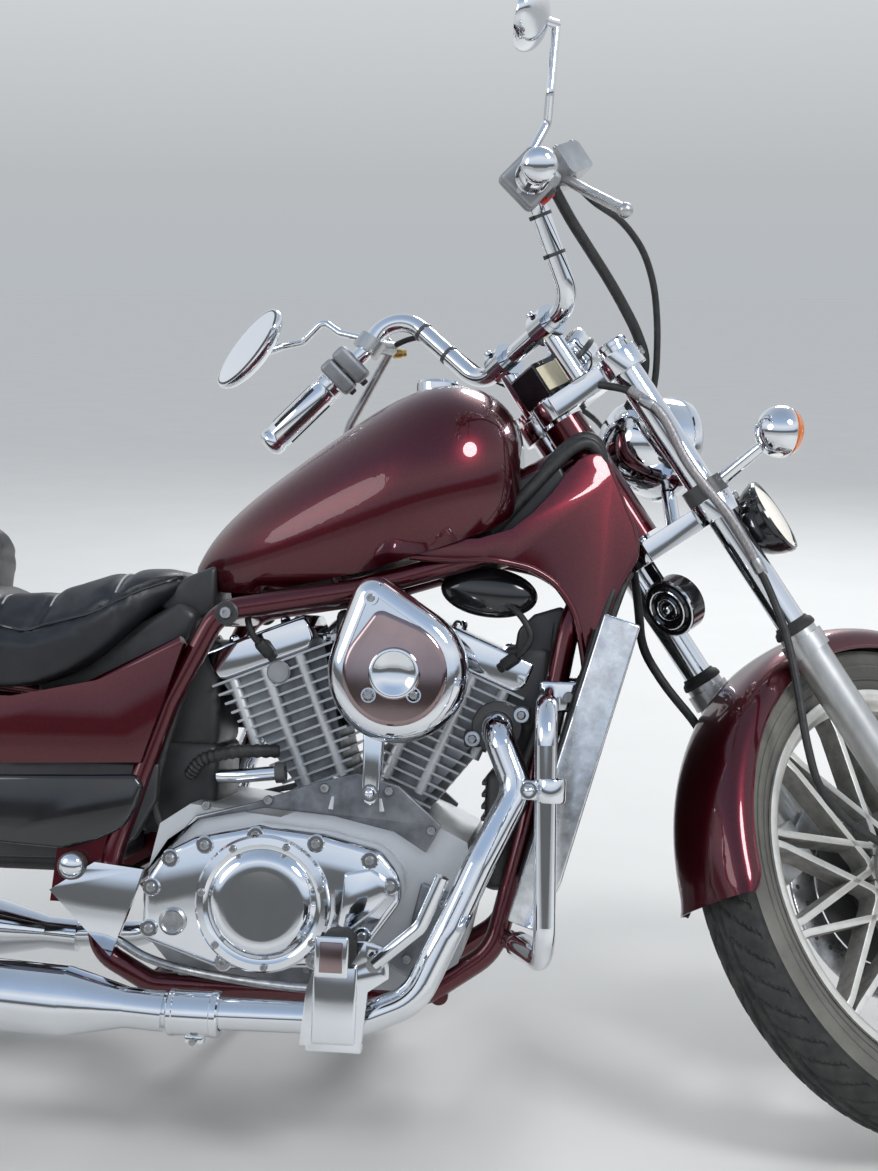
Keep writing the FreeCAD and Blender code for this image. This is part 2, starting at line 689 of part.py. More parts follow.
RADIATOR = [(1140, 640), (1186, 630), (1098, 322), (1054, 322)]
radiator = slab(RADIATOR, -150, 150).cut(frame_room)
radiator = max(radiator.Solids, key=lambda solid: solid.Volume)
solid_feature("radiator", radiator, parked)
SIDE_SLAT = [(1148, 654), (1192, 640), (1108, 330), (1080, 268), (1044, 280)]
solid_feature("radiator_covers", both_sides(slab(SIDE_SLAT, -150 - gap, -166)), parked)

guard_radius = size("CrashBarRadius")
GUARD = [(1084, -84, 552), (1086, -306, 545), (1094, -306, 258), (1046, -106, 246)]
guard = tube(GUARD, guard_radius, [44, 44]).cut(frame_room)
guard = max(guard.Solids, key=lambda solid: solid.Volume)
solid_feature("engine_guards", both_sides(guard), parked)


# Footrests, pedals and the rear footrest plates

pedal_x, pedal_z = 898, 240
peg_bracket = joined([slab([(812, 140), (884, 140), (890, 205), (914, 222), (914, 256), (884, 262),
                            (838, 262), (818, 205)], -246, -256),
                      block((826, -256, 206), (876, -134, 226)),
                      block((820, -256, 134), (884, -236, 142))])
peg_bracket = peg_bracket.cut(front_room).cut(frame_room).cut(side_room)
peg_bracket = peg_bracket.cut(rod((pedal_x, -300, pedal_z), (pedal_x, -200, pedal_z), 9 + gap))
peg_bracket = max(peg_bracket.Solids, key=lambda solid: solid.Volume)
peg = rounded_box((839, -336, 236), (877, -256 - gap, 282), 14)
solid_feature("footrests", both_sides(peg), parked)
pedal_pin = rod((pedal_x, -238, pedal_z), (pedal_x, -272, pedal_z), 9)
brake_pedal = joined([pedal_pin, tube([(pedal_x, -266, pedal_z), (950, -272, 286), (974, -276, 345)],
                                      8, 30)])
solid_feature("brake_pedal", brake_pedal, parked)
shift_lever = joined([mirrored(pedal_pin), tube([(pedal_x, 266, pedal_z), (960, 268, 258), (990, 300, 262)],
                                                7, 20)])
solid_feature("shift_lever", shift_lever, parked)
REAR_PLATE = [(529, 323), (591, 317), (554, 207), (473, 286)]
rear_plate = slab(REAR_PLATE, -136 - gap, -150).cut(frame_room)
rear_plate = rear_plate.cut(rod((pivot_x, -160, pivot_z), (pivot_x, -130, pivot_z), 17 + gap))
rear_plate = max(rear_plate.Solids, key=lambda solid: solid.Volume)
brackets = both_sides(peg_bracket).Solids + both_sides(rear_plate).Solids
solid_feature("footrest_brackets", Part.makeCompound(brackets), parked)


# Swingarm, shaft drive, shock absorbers and rear brake

arm_radius = 16
LEFT_ARM_END = 84
swingarm = joined([rod((pivot_x, -108, pivot_z), (pivot_x, 108, pivot_z), 22),
                   tube([(pivot_x, -88, pivot_z), (300, -96, pivot_z), (0, -110, rear_radius)],
                        arm_radius, 200),
                   tube([(pivot_x, 88, pivot_z), (300, 98, pivot_z), (LEFT_ARM_END, 106, rear_radius)],
                        arm_radius, 200),
                   rod((400, -92, pivot_z), (400, 92, pivot_z), 14),
                   rod((pivot_x, -150, pivot_z), (pivot_x, 150, pivot_z), 12),
                   rod((pivot_x, -154, pivot_z), (pivot_x, -136 - gap, pivot_z), 17),
                   rod((pivot_x, 136 + gap, pivot_z), (pivot_x, 154, pivot_z), 17),
                   rod((0, -140, rear_radius), (0, 88, rear_radius), 9)])
solid_feature("swingarm", swingarm, parked)
final_drive = joined([rod((0, 84, rear_radius), (0, 122, rear_radius), 70),
                      rod((20, 106, rear_radius), (LEFT_ARM_END - 0.9, 106, rear_radius), 18)])
final_drive = final_drive.cut(rod((0, -140, rear_radius), (0, 88 + gap, rear_radius), 9 + gap))
solid_feature("final_drive", final_drive, parked)
shock = joined([rod((40, -126.3, 330), (40, -160, 330), 14), rod((130, -117.6, 573), (130, -160, 573), 14),
                rod((40, -144, 330), (130, -144, 573), 9), rod((58, -144, 379), (116, -144, 535), 24)])
solid_feature("shock_absorbers", both_sides(shock), parked)
rear_brake = rod((0, -50, rear_radius), (0, -90, rear_radius), 84)
rear_brake = rear_brake.cut(rod((0, -100, rear_radius), (0, -40, rear_radius), 9 + gap))
rear_brake = joined([rear_brake, rod((10, -83, rear_radius - 70), (330, -83, 268), 5)])
solid_feature("rear_brake", rear_brake, parked)


# Wheels: local z along the axle

def tyre_body(name, radius, width, rim, rim_width, pose, frame):
    """A round-crowned tyre turned from its section."""
    shoulder = "%s - %s * 0.32" % (radius, width)
    return revolved_body(name, [
        ("%s - 2" % rim, "-%s / 2 + 6.2" % rim_width),
        ("%s + 10" % rim, "-%s / 2 + 2" % rim_width),
        (shoulder, "-%s * 0.47" % width, "%s + (%s - %s) * 0.32" % (rim, radius, rim),
         "-%s * 0.5" % width),
        (shoulder, "%s * 0.47" % width, radius, "0"),
        ("%s + 10" % rim, "%s / 2 - 2" % rim_width,
         "%s + (%s - %s) * 0.32" % (rim, radius, rim), "%s * 0.5" % width),
        ("%s - 2" % rim, "%s / 2 - 6.2" % rim_width),
    ], pose, frame)


front_axle = axle_frame(wheelbase, front_radius)
rear_axle = axle_frame(0, rear_radius)
tyre_body("front_tyre", "Sizes.FrontTyreRadius", "Sizes.FrontTyreWidth", "Sizes.FrontRimRadius",
          "Sizes.FrontRimWidth", steered, front_axle)
tyre_body("rear_tyre", "Sizes.RearTyreRadius", "Sizes.RearTyreWidth", "Sizes.RearRimRadius",
          "Sizes.RearRimWidth", parked, rear_axle)


def cast_wheel(name, rim, rim_width, hub, bore, pose, frame):
    """Rim, hub and a ring of forked spokes: radii and widths in millimetres."""
    half = rim_width / 2
    ring = Part.Face(Part.makePolygon([
        V(rim, 0, -half), V(rim, 0, -half + 5), V(rim - 10, 0, -half + 9), V(rim - 10, 0, half - 9),
        V(rim, 0, half - 5), V(rim, 0, half), V(rim - 14, 0, half - 2), V(rim - 20, 0, half - 12),
        V(rim - 20, 0, -half + 12), V(rim - 14, 0, -half + 2), V(rim, 0, -half)]))
    pieces = [ring.revolve(V(), ALONG_Z, 360),
              Part.makeCylinder(hub, 84, V(0, 0, -42)), Part.makeCylinder(hub + 14, 40, V(0, 0, -20))]
    count = int(size("SpokeCount"))
    for number in range(count):
        angle = 360 / count * number
        for side in (1, -1):
            leg = Part.makePolygon([V(rim - 18, 0, -15), V(rim - 18, side * 9, -15),
                                    V(hub - 6, side * 40, -15), V(hub - 10, side * 28, -15),
                                    V(rim - 34, 0, -15), V(rim - 18, 0, -15)])
            leg = Part.Face(leg).extrude(V(0, 0, 30))
            leg.rotate(V(), ALONG_Z, angle)
            pieces.append(leg)
    wheel = joined(pieces).cut(Part.makeCylinder(bore, 200, V(0, 0, -100)))
    return solid_feature(name, wheel, pose, frame)


cast_wheel("front_wheel", size("FrontRimRadius"), size("FrontRimWidth"), 48, 10 + gap, steered,
           front_axle)
cast_wheel("rear_wheel", size("RearRimRadius"), size("RearRimWidth"), 60, 9 + gap, parked, rear_axle)
disc = Part.makeCylinder(140, 5, V(0, 0, 56)).cut(Part.makeCylinder(96, 20, V(0, 0, 50)))
disc = joined([disc, Part.makeCylinder(97, 4, V(0, 0, 52)), Part.makeCylinder(40, 14, V(0, 0, 42 + gap))])
disc = disc.cut(Part.makeCylinder(10 + gap, 200, V(0, 0, -100)))
solid_feature("brake_disc", disc, steered, front_axle)


# Rear fender, lamps and number plate

def fender(name, inner, half, skirt, start, sweep, pose, frame):
    """A sheet channel over a tyre: inner radius, half width, skirt radius, first angle and sweep."""
    outer = inner + sheet_wall
    section = [V(skirt, 0, -half), V(skirt, 0, -half + sheet_wall), V(inner - 22, 0, -half + sheet_wall)]
    edges = Part.makePolygon(section + [V(inner, 0, -half + 30), V(inner, 0, half - 30),
                                        V(inner - 22, 0, half - sheet_wall), V(skirt, 0, half - sheet_wall),
                                        V(skirt, 0, half), V(inner - 20, 0, half), V(outer, 0, half - 28),
                                        V(outer, 0, -half + 28), V(inner - 20, 0, -half), section[0]])
    shape = Part.Face(edges).revolve(V(), ALONG_Z, sweep)
    shape.rotate(V(), ALONG_Z, -start)
    return solid_feature(name, shape, pose, frame)


fender("rear_fender", rear_radius + size("RearFenderGap"), size("RearFenderHalfWidth"),
       rear_radius + 4, 172, 132, parked, rear_axle)
fender("front_fender", front_radius + size("FenderGap"), size("FenderHalfWidth"), 304, 190, 130,
       steered, front_axle)
rail_y = -106 - rail_radius - 8 - gap
fender_rail = joined([tube([(40, rail_y, 598), (-90, rail_y, 638), (-250, rail_y, 560)], 8, 60),
                      rod((-120, rail_y, 620), (-120, -size("RearFenderHalfWidth") - gap, 620), 7),
                      rod((-230, rail_y, 560), (-230, -size("RearFenderHalfWidth") - gap, 560), 7)])
fender_rail = fender_rail.cut(frame_room)
fender_rail = max(fender_rail.Solids, key=lambda solid: solid.Volume)
solid_feature("fender_rails", both_sides(fender_rail), parked)
RACK_PLACES = [(-70, 631), (-170, 599)]
RACK_HOLE_DEPTH, RACK_HOLE, RACK_BOSS = 14, 3.4, 11
rack_face = rail_y - 24
bosses = []
for x, z in RACK_PLACES:
    boss = rod((x, rail_y - 2, z), (x, rack_face, z), RACK_BOSS)
    hole = rod((x, rack_face - 1, z), (x, rack_face + RACK_HOLE_DEPTH, z), RACK_HOLE)
    bosses.append(boss.cut(hole).cut(fender_rail))
solid_feature("rack_bosses", Part.makeCompound(bosses + [mirrored(boss) for boss in bosses]), parked)
tail_lamp = rounded_box((-372, -46, 500), (-250, 46, 566), 14).cut(fender_drum)
tail_lamp = max(tail_lamp.Solids, key=lambda solid: solid.Volume)
solid_feature("tail_lamp", tail_lamp, parked)
plate_bracket = joined([block((-420, -90, 300), (-416, 90, 440)),
                        block((-417, -20, 360), (-300, 20, 380))]).cut(fender_drum)
plate_bracket = max(plate_bracket.Solids, key=lambda solid: solid.Volume)
solid_feature("number_plate", plate_bracket, parked)
signal = joined([rod((-246, rail_y - 8 - gap, 562), (-246, -176, 562), 7), ball((-246, -200, 562), 32)])
solid_feature("rear_signals", both_sides(signal), parked)


# Fork: pieces in (ahead, left, along) about the steering axis

span_half, offset = size("ForkHalfSpan"), size("ForkOffset")
leg_radius, slider_radius = size("ForkTubeRadius"), size("SliderRadius")
low_clamp, high_clamp, clamp_height = (size("LowerClampBase"), size("UpperClampBase"),
                                       size("ClampHeight"))
slider_top = size("SliderTop")
steer_parts = (steered, fork_frame)


def clamp(along):
    """A fork bridge with two bosses."""
    base = V(0, 0, along)
    up = V(0, 0, clamp_height)
    bosses = [Part.makeCylinder(leg_radius + 9, clamp_height, V(offset, side * span_half, along))
              for side in (-1, 1)]
    hub = Part.makeCylinder(26, clamp_height, base)
    half_bridge = [(-20, 18), (offset + 4, span_half), (offset + 22, span_half - 20), (66, 0)]
    bridge = [V(x, y, along) for x, y in half_bridge]
    bridge += [V(x, -y, along) for x, y in reversed(half_bridge[:-1])] + [V(-20, 18, along)]
    bridge = Part.Face(Part.makePolygon(bridge)).extrude(up)
    shape = joined(bosses + [hub, bridge])
    for side in (-1, 1):
        shape = shape.cut(Part.makeCylinder(leg_radius + gap, 400, V(offset, side * span_half, along - 100)))
    return shape


stem = Part.makeCylinder(size("StemRadius"), high_clamp - low_clamp, V(0, 0, low_clamp + 1))
light_ahead, light_along = 135, 1003
light_centre = fork_point(light_ahead, 0, light_along)
headlight_frame = FreeCAD.Placement(light_centre, FreeCAD.Rotation(ALONG_Y, 90))
BOWL = [(0, -90), (34, -84), (58, -50)]
RIM_DEPTH = 14
rim_room = size("HeadlightRadius") + gap
room_line = [V(radius + gap, 0, depth - gap) for radius, depth in BOWL]
room_line = [V(0, 0, BOWL[0][1] - gap)] + room_line[1:]
room_line += [V(rim_room, 0, 0), V(rim_room, 0, RIM_DEPTH + 2), V(0, 0, RIM_DEPTH + 2)]
lamp_room = Part.Face(Part.makePolygon(room_line + room_line[:1])).revolve(V(), ALONG_Z, 360)
lamp_room = in_frame(lamp_room, fork_frame.inverse().multiply(headlight_frame))
lamp_arm = rod((62, 0, low_clamp + 14), (104, 0, light_along - 44), 10).cut(lamp_room)
lamp_arm = max(lamp_arm.Solids, key=lambda solid: solid.Volume)
clamps = joined([clamp(low_clamp), clamp(high_clamp), stem, lamp_arm])
solid_feature("fork_clamps", clamps, *steer_parts)
tube_top = high_clamp + clamp_height + 8
legs = [Part.makeCylinder(leg_radius, tube_top - slider_top + 16, V(offset, side * span_half,
                                                                    slider_top - 16))
        for side in (-1, 1)]
solid_feature("fork_tubes", Part.makeCompound(legs), *steer_parts)
slider_low = front_axle_along - 24
sliders = []
for side in (-1, 1):
    leg = joined([Part.makeCylinder(slider_radius, slider_top - slider_low, V(offset, side * span_half,
                                                                             slider_low)),
                  Part.makeCylinder(slider_radius + 4, 22, V(offset, side * span_half, slider_top - 30)),
                  Part.makeCylinder(8, span_half - size("FenderHalfWidth") - gap,
                                    V(offset, side * span_half, 672), V(0, -side, 0))])
    leg = leg.cut(Part.makeCylinder(leg_radius + gap, 60, V(offset, side * span_half, slider_top - 17)))
    sliders.append(leg)
axle_rod = Part.makeCylinder(10, 2 * (span_half + 24), V(front_axle_ahead, -span_half - 24,
                                                        front_axle_along), ALONG_Y)
spacer = Part.makeCylinder(18, 23, V(front_axle_ahead, -43, front_axle_along), V(0, -1, 0))
drive_radius = 30
speed_drive = Part.makeCylinder(drive_radius, 14, V(front_axle_ahead, -48, front_axle_along), V(0, -1, 0))
sliders = joined(sliders + [axle_rod, spacer, speed_drive])
solid_feature("fork_sliders", sliders, *steer_parts)

bar_radius = size("BarRadius")
grip_end = size("GripEndSpan")
bar_end = V(-168, grip_end, 1308)
bar_way = (V(-8, 168, 1352) - bar_end).normalize()
bar_bend = bar_end + bar_way * 182
HALF_BAR = [bar_end, bar_bend, V(14, 162, 1372), V(18, 108, 1211)]
BAR = HALF_BAR + [V(point.x, -point.y, point.z) for point in reversed(HALF_BAR)]
BAR_BENDS = [60, 42, 42, 42, 42, 60]
handlebar = tube(BAR, bar_radius, BAR_BENDS)
solid_feature("handlebar", handlebar, *steer_parts)
bar_room = tube(BAR, bar_radius + gap, BAR_BENDS)
grip_radius = size("GripRadius")
grip_start = bar_end + bar_way * 122
grip = joined([rod(bar_end, grip_start, grip_radius), taper(bar_end, bar_end - bar_way * 6, grip_radius, 13)])
grip = grip.cut(bar_room)
solid_feature("hand_grips", both_sides(grip), *steer_parts)
housing = rod(grip_start + bar_way, bar_end + bar_way * 172, 27).cut(bar_room)
solid_feature("switch_housings", both_sides(housing), *steer_parts)
arch_way = (HALF_BAR[2] - bar_bend).normalize()
perch = bar_bend + arch_way * 14
lever_tip = (-98, grip_end + 9, 1222)
lever = joined([rod(perch - arch_way * 11, perch + arch_way * 11, 20), rod(perch, (6, 205, 1332), 10),
                tube([(6, 205, 1332), (-10, 232, 1318), (-64, 290, 1276), lever_tip], 6.5, 40),
                ball(lever_tip, 9)])
reservoir = rounded_box((-8, -242, 1322), (34, -194, 1362), 7)
levers = Part.makeCompound([lever.cut(bar_room), joined([mirrored(lever), reservoir]).cut(bar_room)])
solid_feature("hand_levers", levers, *steer_parts)
riser_x, riser_z = 18, 1211
risers = []
for side in (-1, 1):
    post = joined([rod((riser_x - 4, side * 50, high_clamp + clamp_height + gap),
                       (riser_x - 4, side * 50, riser_z - 6), 13),
                   rod((riser_x, side * 36, riser_z), (riser_x, side * 64, riser_z), 23)]).cut(bar_room)
    risers.append(post)
solid_feature("bar_risers", Part.makeCompound(risers), *steer_parts)
indicator = rounded_box((-20, -24, high_clamp + clamp_height + gap), (34, 24, 1178), 4)
solid_feature("indicator_box", indicator, *steer_parts)


def mirror_head(centre, facing, long_way):
    """An oval shell with a flat glass that faces one way, its length along another."""
    facing = facing.normalize()
    across = facing.cross(long_way).normalize()
    along = across.cross(facing)
    shell = ball((0, 0, 0), 1)
    scale = FreeCAD.Matrix()
    scale.scale(24, 68, 41)
    shell = shell.transformGeometry(scale)
    shell = shell.cut(block((4, -90, -60), (40, 90, 60)))
    turn = FreeCAD.Matrix(facing.x, along.x, across.x, centre.x, facing.y, along.y, across.y, centre.y,
                          facing.z, along.z, across.z, centre.z)
    return in_frame(shell, FreeCAD.Placement(turn))


perch_top = perch + V(-2, 3, 15)
left_facing = V(-0.66, -0.24, 0.71).normalize()
left_centre = V(-134, 304, 1438)
left_stem = tube([perch_top, V(-42, 228, 1388), V(-46, 240, 1417), V(-72, 272, 1409), V(-88, 296, 1422)],
                 5, 12)
left_arm = rod((-88, 296, 1422), left_centre - left_facing * 16, 6)
left_head = mirror_head(left_centre, left_facing, V(-0.62, 0.72, -0.2))
right_facing = V(-0.44, 0.49, 0.75).normalize()
right_centre = V(27, -287, 1510)
right_stem = tube([V(perch_top.x, -perch_top.y, perch_top.z), V(20, -228, 1398), V(24, -254, 1424),
                   V(66, -286, 1492)], 5.5, 14)
right_arm = rod((66, -286, 1492), right_centre - right_facing * 16, 6)
right_head = mirror_head(right_centre, right_facing, V(0.82, 0.56, 0.12))
left_mirror = joined([left_stem, left_arm, left_head]).cut(levers).cut(bar_room)
right_mirror = joined([right_stem, right_arm, right_head]).cut(levers).cut(bar_room)
left_mirror = max(left_mirror.Solids, key=lambda solid: solid.Volume)
right_mirror = max(right_mirror.Solids, key=lambda solid: solid.Volume)
solid_feature("mirrors", Part.makeCompound([left_mirror, right_mirror]), *steer_parts)

revolved_body("headlight", BOWL + [("Sizes.HeadlightRadius", 0), ("Sizes.HeadlightRadius", RIM_DEPTH),
                                   ("Sizes.HeadlightRadius - 8", RIM_DEPTH + 2),
                                   (0, RIM_DEPTH + 2)], steered, headlight_frame)
revolved_body("headlight_lens", [(0, 16.3), ("Sizes.HeadlightRadius - 9", 16.3), (50, 30), (0, 36)],
              steered, headlight_frame)
speedo_frame = fork_frame.multiply(FreeCAD.Placement(V(78, 0, 1173), FreeCAD.Rotation(ALONG_Y, -20)))
revolved_body("speedometer", [(0, -34), (30, -34), (39, -18), (39, 14), (36, 18), (0, 18)], steered,
              speedo_frame)
lamp_back = V(95, -70, 846)
lamp_way = V(0.5, -0.86, 0).normalize()
aux_lamp = joined([taper(lamp_back, lamp_back + lamp_way * 36, 26, 50),
                   rod(lamp_back + lamp_way * 36, lamp_back + lamp_way * 44, 52),
                   rod((92, -66, 850), (64, -62, low_clamp + 6), 7)])
aux_lamp = aux_lamp.cut(Part.makeBox(200, 200, 60, V(-40, -150, low_clamp - gap)))
solid_feature("auxiliary_lamp", aux_lamp, *steer_parts)
stalk_base = low_clamp + clamp_height + gap
stalks = [joined([Part.makeCylinder(leg_radius + 6, 22, V(offset, side * span_half, stalk_base)),
                  rod((66, side * 108, 920), (104, side * 182, 929), 8),
                  ball((109, side * 200, 930), 33)]
                 ).cut(Part.makeCylinder(leg_radius + gap, 60, V(offset, side * span_half, 900)))
          for side in (-1, 1)]
solid_feature("front_signals", Part.makeCompound(stalks), *steer_parts)
horn = joined([rod((-24, 0, 817), (4, 0, 817), 38), block((-14, -8, 850), (-8, 8, low_clamp - gap))])
solid_feature("horn", horn, *steer_parts)
caliper = joined([Part.makeBox(70, 38, 60, V(-68, 46, 440)), Part.makeBox(60, 14, 30, V(-20, 70, 452))])
disc_room = in_frame(Part.makeCylinder(147, 16, V(0, 0, 50.5)), fork_frame.inverse().multiply(front_axle))
caliper = caliper.cut(disc_room)
caliper = caliper.cut(Part.makeCylinder(slider_radius + gap, 300, V(offset, span_half, 380)))
caliper = max(caliper.Solids, key=lambda solid: solid.Volume)
solid_feature("brake_caliper", caliper, *steer_parts)


# Cables and hoses, held along their whole length

def cable(label, points, radius):
    """A tube of straight runs with the largest tangent arcs that they leave room for."""
    points = [V(*point) for point in points]
    bends = []
    for before, here, after in zip(points, points[1:], points[2:]):
        turn = (here - before).getAngle(after - here)
        shorter = min((here - before).Length, (after - here).Length)
        bends.append(0.45 * shorter / math.tan(turn / 2))
    shape = tube(points, radius, bends)
    length = shape.Volume / (math.pi * radius ** 2)
    print("%s: %.0f mm long, arcs of %s mm" % (label, length, " ".join("%.0f" % bend for bend in bends)))
    return shape


harness = cable("harness", [(-30, -222, 1318), (-6, -198, 1284), (30, -168, 1254), (66, -138, 1204),
                            (94, -108, 1146), (108, -84, 1110), (106, -56, 1086), (89, -28, 1069)], 7)
brake_hose = cable("brake hose", [(16, -216, 1326), (34, -210, 1292), (88, -190, 1262), (120, -168, 1222),
                                  (132, -142, 1180), (128, -112, 1134), (112, -78, 1082),
                                  (93, -48, 1048)], 4.5)
clutch_cable = cable("clutch cable", [(-18, 212, 1330), (14, 192, 1334), (42, 160, 1318), (42, 136, 1268),
                                      (46, 110, 1206), (76, 84, 1160), (108, 62, 1116), (104, 44, 1086),
                                      (89, 28, 1069)], 4)
caliper_hose = cable("caliper hose", [(-50, 72, 496), (-40, 80, 570), (-6, 85, 650), (-16, 90, 735),
                                      (-14, 90, 792), (14, 82, 838), (30, 68, low_clamp + 4)], 6)
speed_cable = cable("speedometer cable", [(12, -76, high_clamp + 4), (22, -106, 1078), (28, -122, 1030),
                                          (23, -119, 955), (28, -124, 870), (30, -117, 790),
                                          (6, -118, 716), (-28, -116, 655), (-58, -108, 600),
                                          (-80, -100, 540), (-60, -91, 486), (-18, -77, 440),
                                          (46, -57, 377)], 5)
lines = []
for line in (harness, brake_hose, clutch_cable, caliper_hose, speed_cable):
    for neighbour in (lamp_room, levers, clamps, sliders, caliper):
        line = line.cut(neighbour)
    lines.append(max(line.Solids, key=lambda solid: solid.Volume))
solid_feature("cables", Part.makeCompound(lines), *steer_parts)


# Side stand: an eye on the frame's pin, a leg and a flat foot

foot_pad = in_frame(Part.makeCylinder(24, 7, foot_floor), to_upright)
leg_way = (foot_point - stand_pivot).normalize()
stand = joined([rod(stand_pivot - stand_axis * STAND_EYE_HALF, stand_pivot + stand_axis * STAND_EYE_HALF,
                    STAND_EYE),
                rod(stand_pivot + leg_way * 8, stand_pivot + leg_way * 34, STAND_EYE_HALF - 0.1),
                rod(stand_pivot + leg_way * 30, foot_point, 9), foot_pad])
floor_room = in_frame(Part.makeBox(400, 400, 60, foot_floor - V(200, 200, 60)), to_upright)
stand = stand.cut(rod(stand_pivot - stand_axis * 30, stand_pivot + stand_axis * 30, 6 + gap))
stand = stand.cut(floor_room)
solid_feature("side_stand", stand, parked)


# Every sub-part is checked and placed, with the machine's box centred on the origin

fold = (foot_point - stand_pivot).getAngle(folded_point - stand_pivot)
print("stand folds by %.2f degrees" % math.degrees(fold))
doc.recompute()
for obj in doc.Objects:
    if "Invalid" in obj.State or "Error" in obj.State:
        raise RuntimeError("failed: " + obj.Label)
for name, (obj, pose, frame) in placed.items():
    obj.Placement = pose.multiply(frame)
doc.recompute()
box = FreeCAD.BoundBox()
for name, (obj, pose, frame) in placed.items():
    box.add(obj.Shape.optimalBoundingBox(True, False))
shift = FreeCAD.Placement(V(-(box.XMin + box.XMax) / 2, -(box.YMin + box.YMax) / 2, 0),
                          FreeCAD.Rotation())
for name, (obj, pose, frame) in placed.items():
    obj.Placement = shift.multiply(pose).multiply(frame)
doc.recompute()
faults = []
for name, (obj, pose, frame) in placed.items():
    shape = obj.Shape
    if shape.isNull() or not shape.isValid() or shape.Volume <= 0:
        faults.append(name)
        continue
    shape.exportStep("parts/%s.step" % name)
if faults:
    raise RuntimeError("bad shapes: " + ", ".join(faults))


def told(label, point):
    """A place that the record needs, in the finished frame."""
    point = shift.multVec(point)
    print("%s %.3f %.3f %.3f" % (label, point.x, point.y, point.z))


print("box %.1f..%.1f %.1f..%.1f %.1f..%.1f" % (box.XMin, box.XMax, box.YMin, box.YMax, box.ZMin, box.ZMax))
print("pitch %.3f floor %.3f shift %.3f %.3f" % (middle, floor_level, shift.Base.x, shift.Base.y))
told("front axle", steered.multVec(V(wheelbase, 0, front_radius)))
told("rear axle", parked.multVec(V(0, 0, rear_radius)))
told("steering", steered.multVec(fork_point(0, 0, 1000)))
told("stand pivot", parked.multVec(stand_pivot))
for label, axis in (("front axle way", steered.Rotation.multVec(ALONG_Y)),
                    ("rear axle way", parked.Rotation.multVec(ALONG_Y)),
                    ("steering way", parked.Rotation.multVec(fork_frame.Rotation.multVec(ALONG_Z))),
                    ("stand way", parked.Rotation.multVec(stand_axis))):
    print("%s %.6f %.6f %.6f" % (label, axis.x, axis.y, axis.z))
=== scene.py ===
"""Looks of a parked cruiser motorcycle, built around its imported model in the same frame."""

import json
import math

import bmesh
import bpy
from mathutils import Matrix, Vector
from mathutils.bvhtree import BVHTree


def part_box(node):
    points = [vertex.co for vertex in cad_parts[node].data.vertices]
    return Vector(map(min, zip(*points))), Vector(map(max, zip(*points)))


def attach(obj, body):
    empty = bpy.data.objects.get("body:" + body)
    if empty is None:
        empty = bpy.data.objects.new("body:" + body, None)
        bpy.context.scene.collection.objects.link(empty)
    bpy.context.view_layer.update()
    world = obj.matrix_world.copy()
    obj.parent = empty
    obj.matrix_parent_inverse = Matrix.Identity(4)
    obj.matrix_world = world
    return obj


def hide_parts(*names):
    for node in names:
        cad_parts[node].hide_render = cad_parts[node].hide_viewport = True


bl_info = {
    "name": "Parked cruiser motorcycle",
    "version": (1, 0, 0),
    "blender": (4, 5, 0),
    "location": "3D View > Sidebar > Cruiser",
    "description": "Detailed pieces and finishes for a cruiser motorcycle on its side stand",
    "category": "Object",
}

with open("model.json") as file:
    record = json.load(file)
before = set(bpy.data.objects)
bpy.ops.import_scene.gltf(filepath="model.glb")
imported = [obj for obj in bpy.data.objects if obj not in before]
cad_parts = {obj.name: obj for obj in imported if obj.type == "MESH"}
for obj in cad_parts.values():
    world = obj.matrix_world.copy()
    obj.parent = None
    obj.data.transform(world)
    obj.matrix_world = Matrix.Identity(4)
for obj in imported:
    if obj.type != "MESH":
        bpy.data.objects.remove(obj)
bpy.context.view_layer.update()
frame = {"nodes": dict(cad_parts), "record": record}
NODES = frame["nodes"]
JOINTS = {joint["name"]: joint for joint in frame["record"]["behaviour"]["joints"]}
MM = 0.001
REAR_RADIUS, FRONT_RADIUS = 317, 331


def frame_of(joint, left_joint, ahead_hint, local):
    """A frame in millimetres: its x ahead, y left, z up, with a joint's place at a local point."""
    left = Vector(JOINTS[left_joint]["axis"]).normalized()
    up = ahead_hint.cross(left).normalized()
    ahead = left.cross(up).normalized()
    turn = Matrix((ahead, left, up)).transposed().to_4x4() @ Matrix.Scale(MM, 4)
    origin = Vector(JOINTS[joint]["pos_m"]) - turn.to_3x3() @ Vector(local)
    return Matrix.Translation(origin) @ turn


STEER_WAY = Vector(JOINTS["steering"]["axis"]).normalized()
FORK_LEFT = Vector(JOINTS["front_wheel_spin"]["axis"]).normalized()
BODY = frame_of("rear_wheel_spin", "rear_wheel_spin", Vector((0.9999361, -0.0023882, -0.0110461)),
                (0, 0, REAR_RADIUS))
FORK = frame_of("steering", "front_wheel_spin", FORK_LEFT.cross(STEER_WAY), (0, 0, 1000))


def axle_matrix(joint):
    """Local z along a wheel's axle, towards the rider's left, in millimetres."""
    left = Vector(JOINTS[joint]["axis"]).normalized()
    ahead = (Vector((1, 0, 0)) - left * left.x).normalized()
    turn = Matrix((ahead, left.cross(ahead), left)).transposed().to_4x4()
    return Matrix.Translation(Vector(JOINTS[joint]["pos_m"])) @ turn @ Matrix.Scale(MM, 4)


FRONT_HUB, REAR_HUB = axle_matrix("front_wheel_spin"), axle_matrix("rear_wheel_spin")


# Settings that a user would change

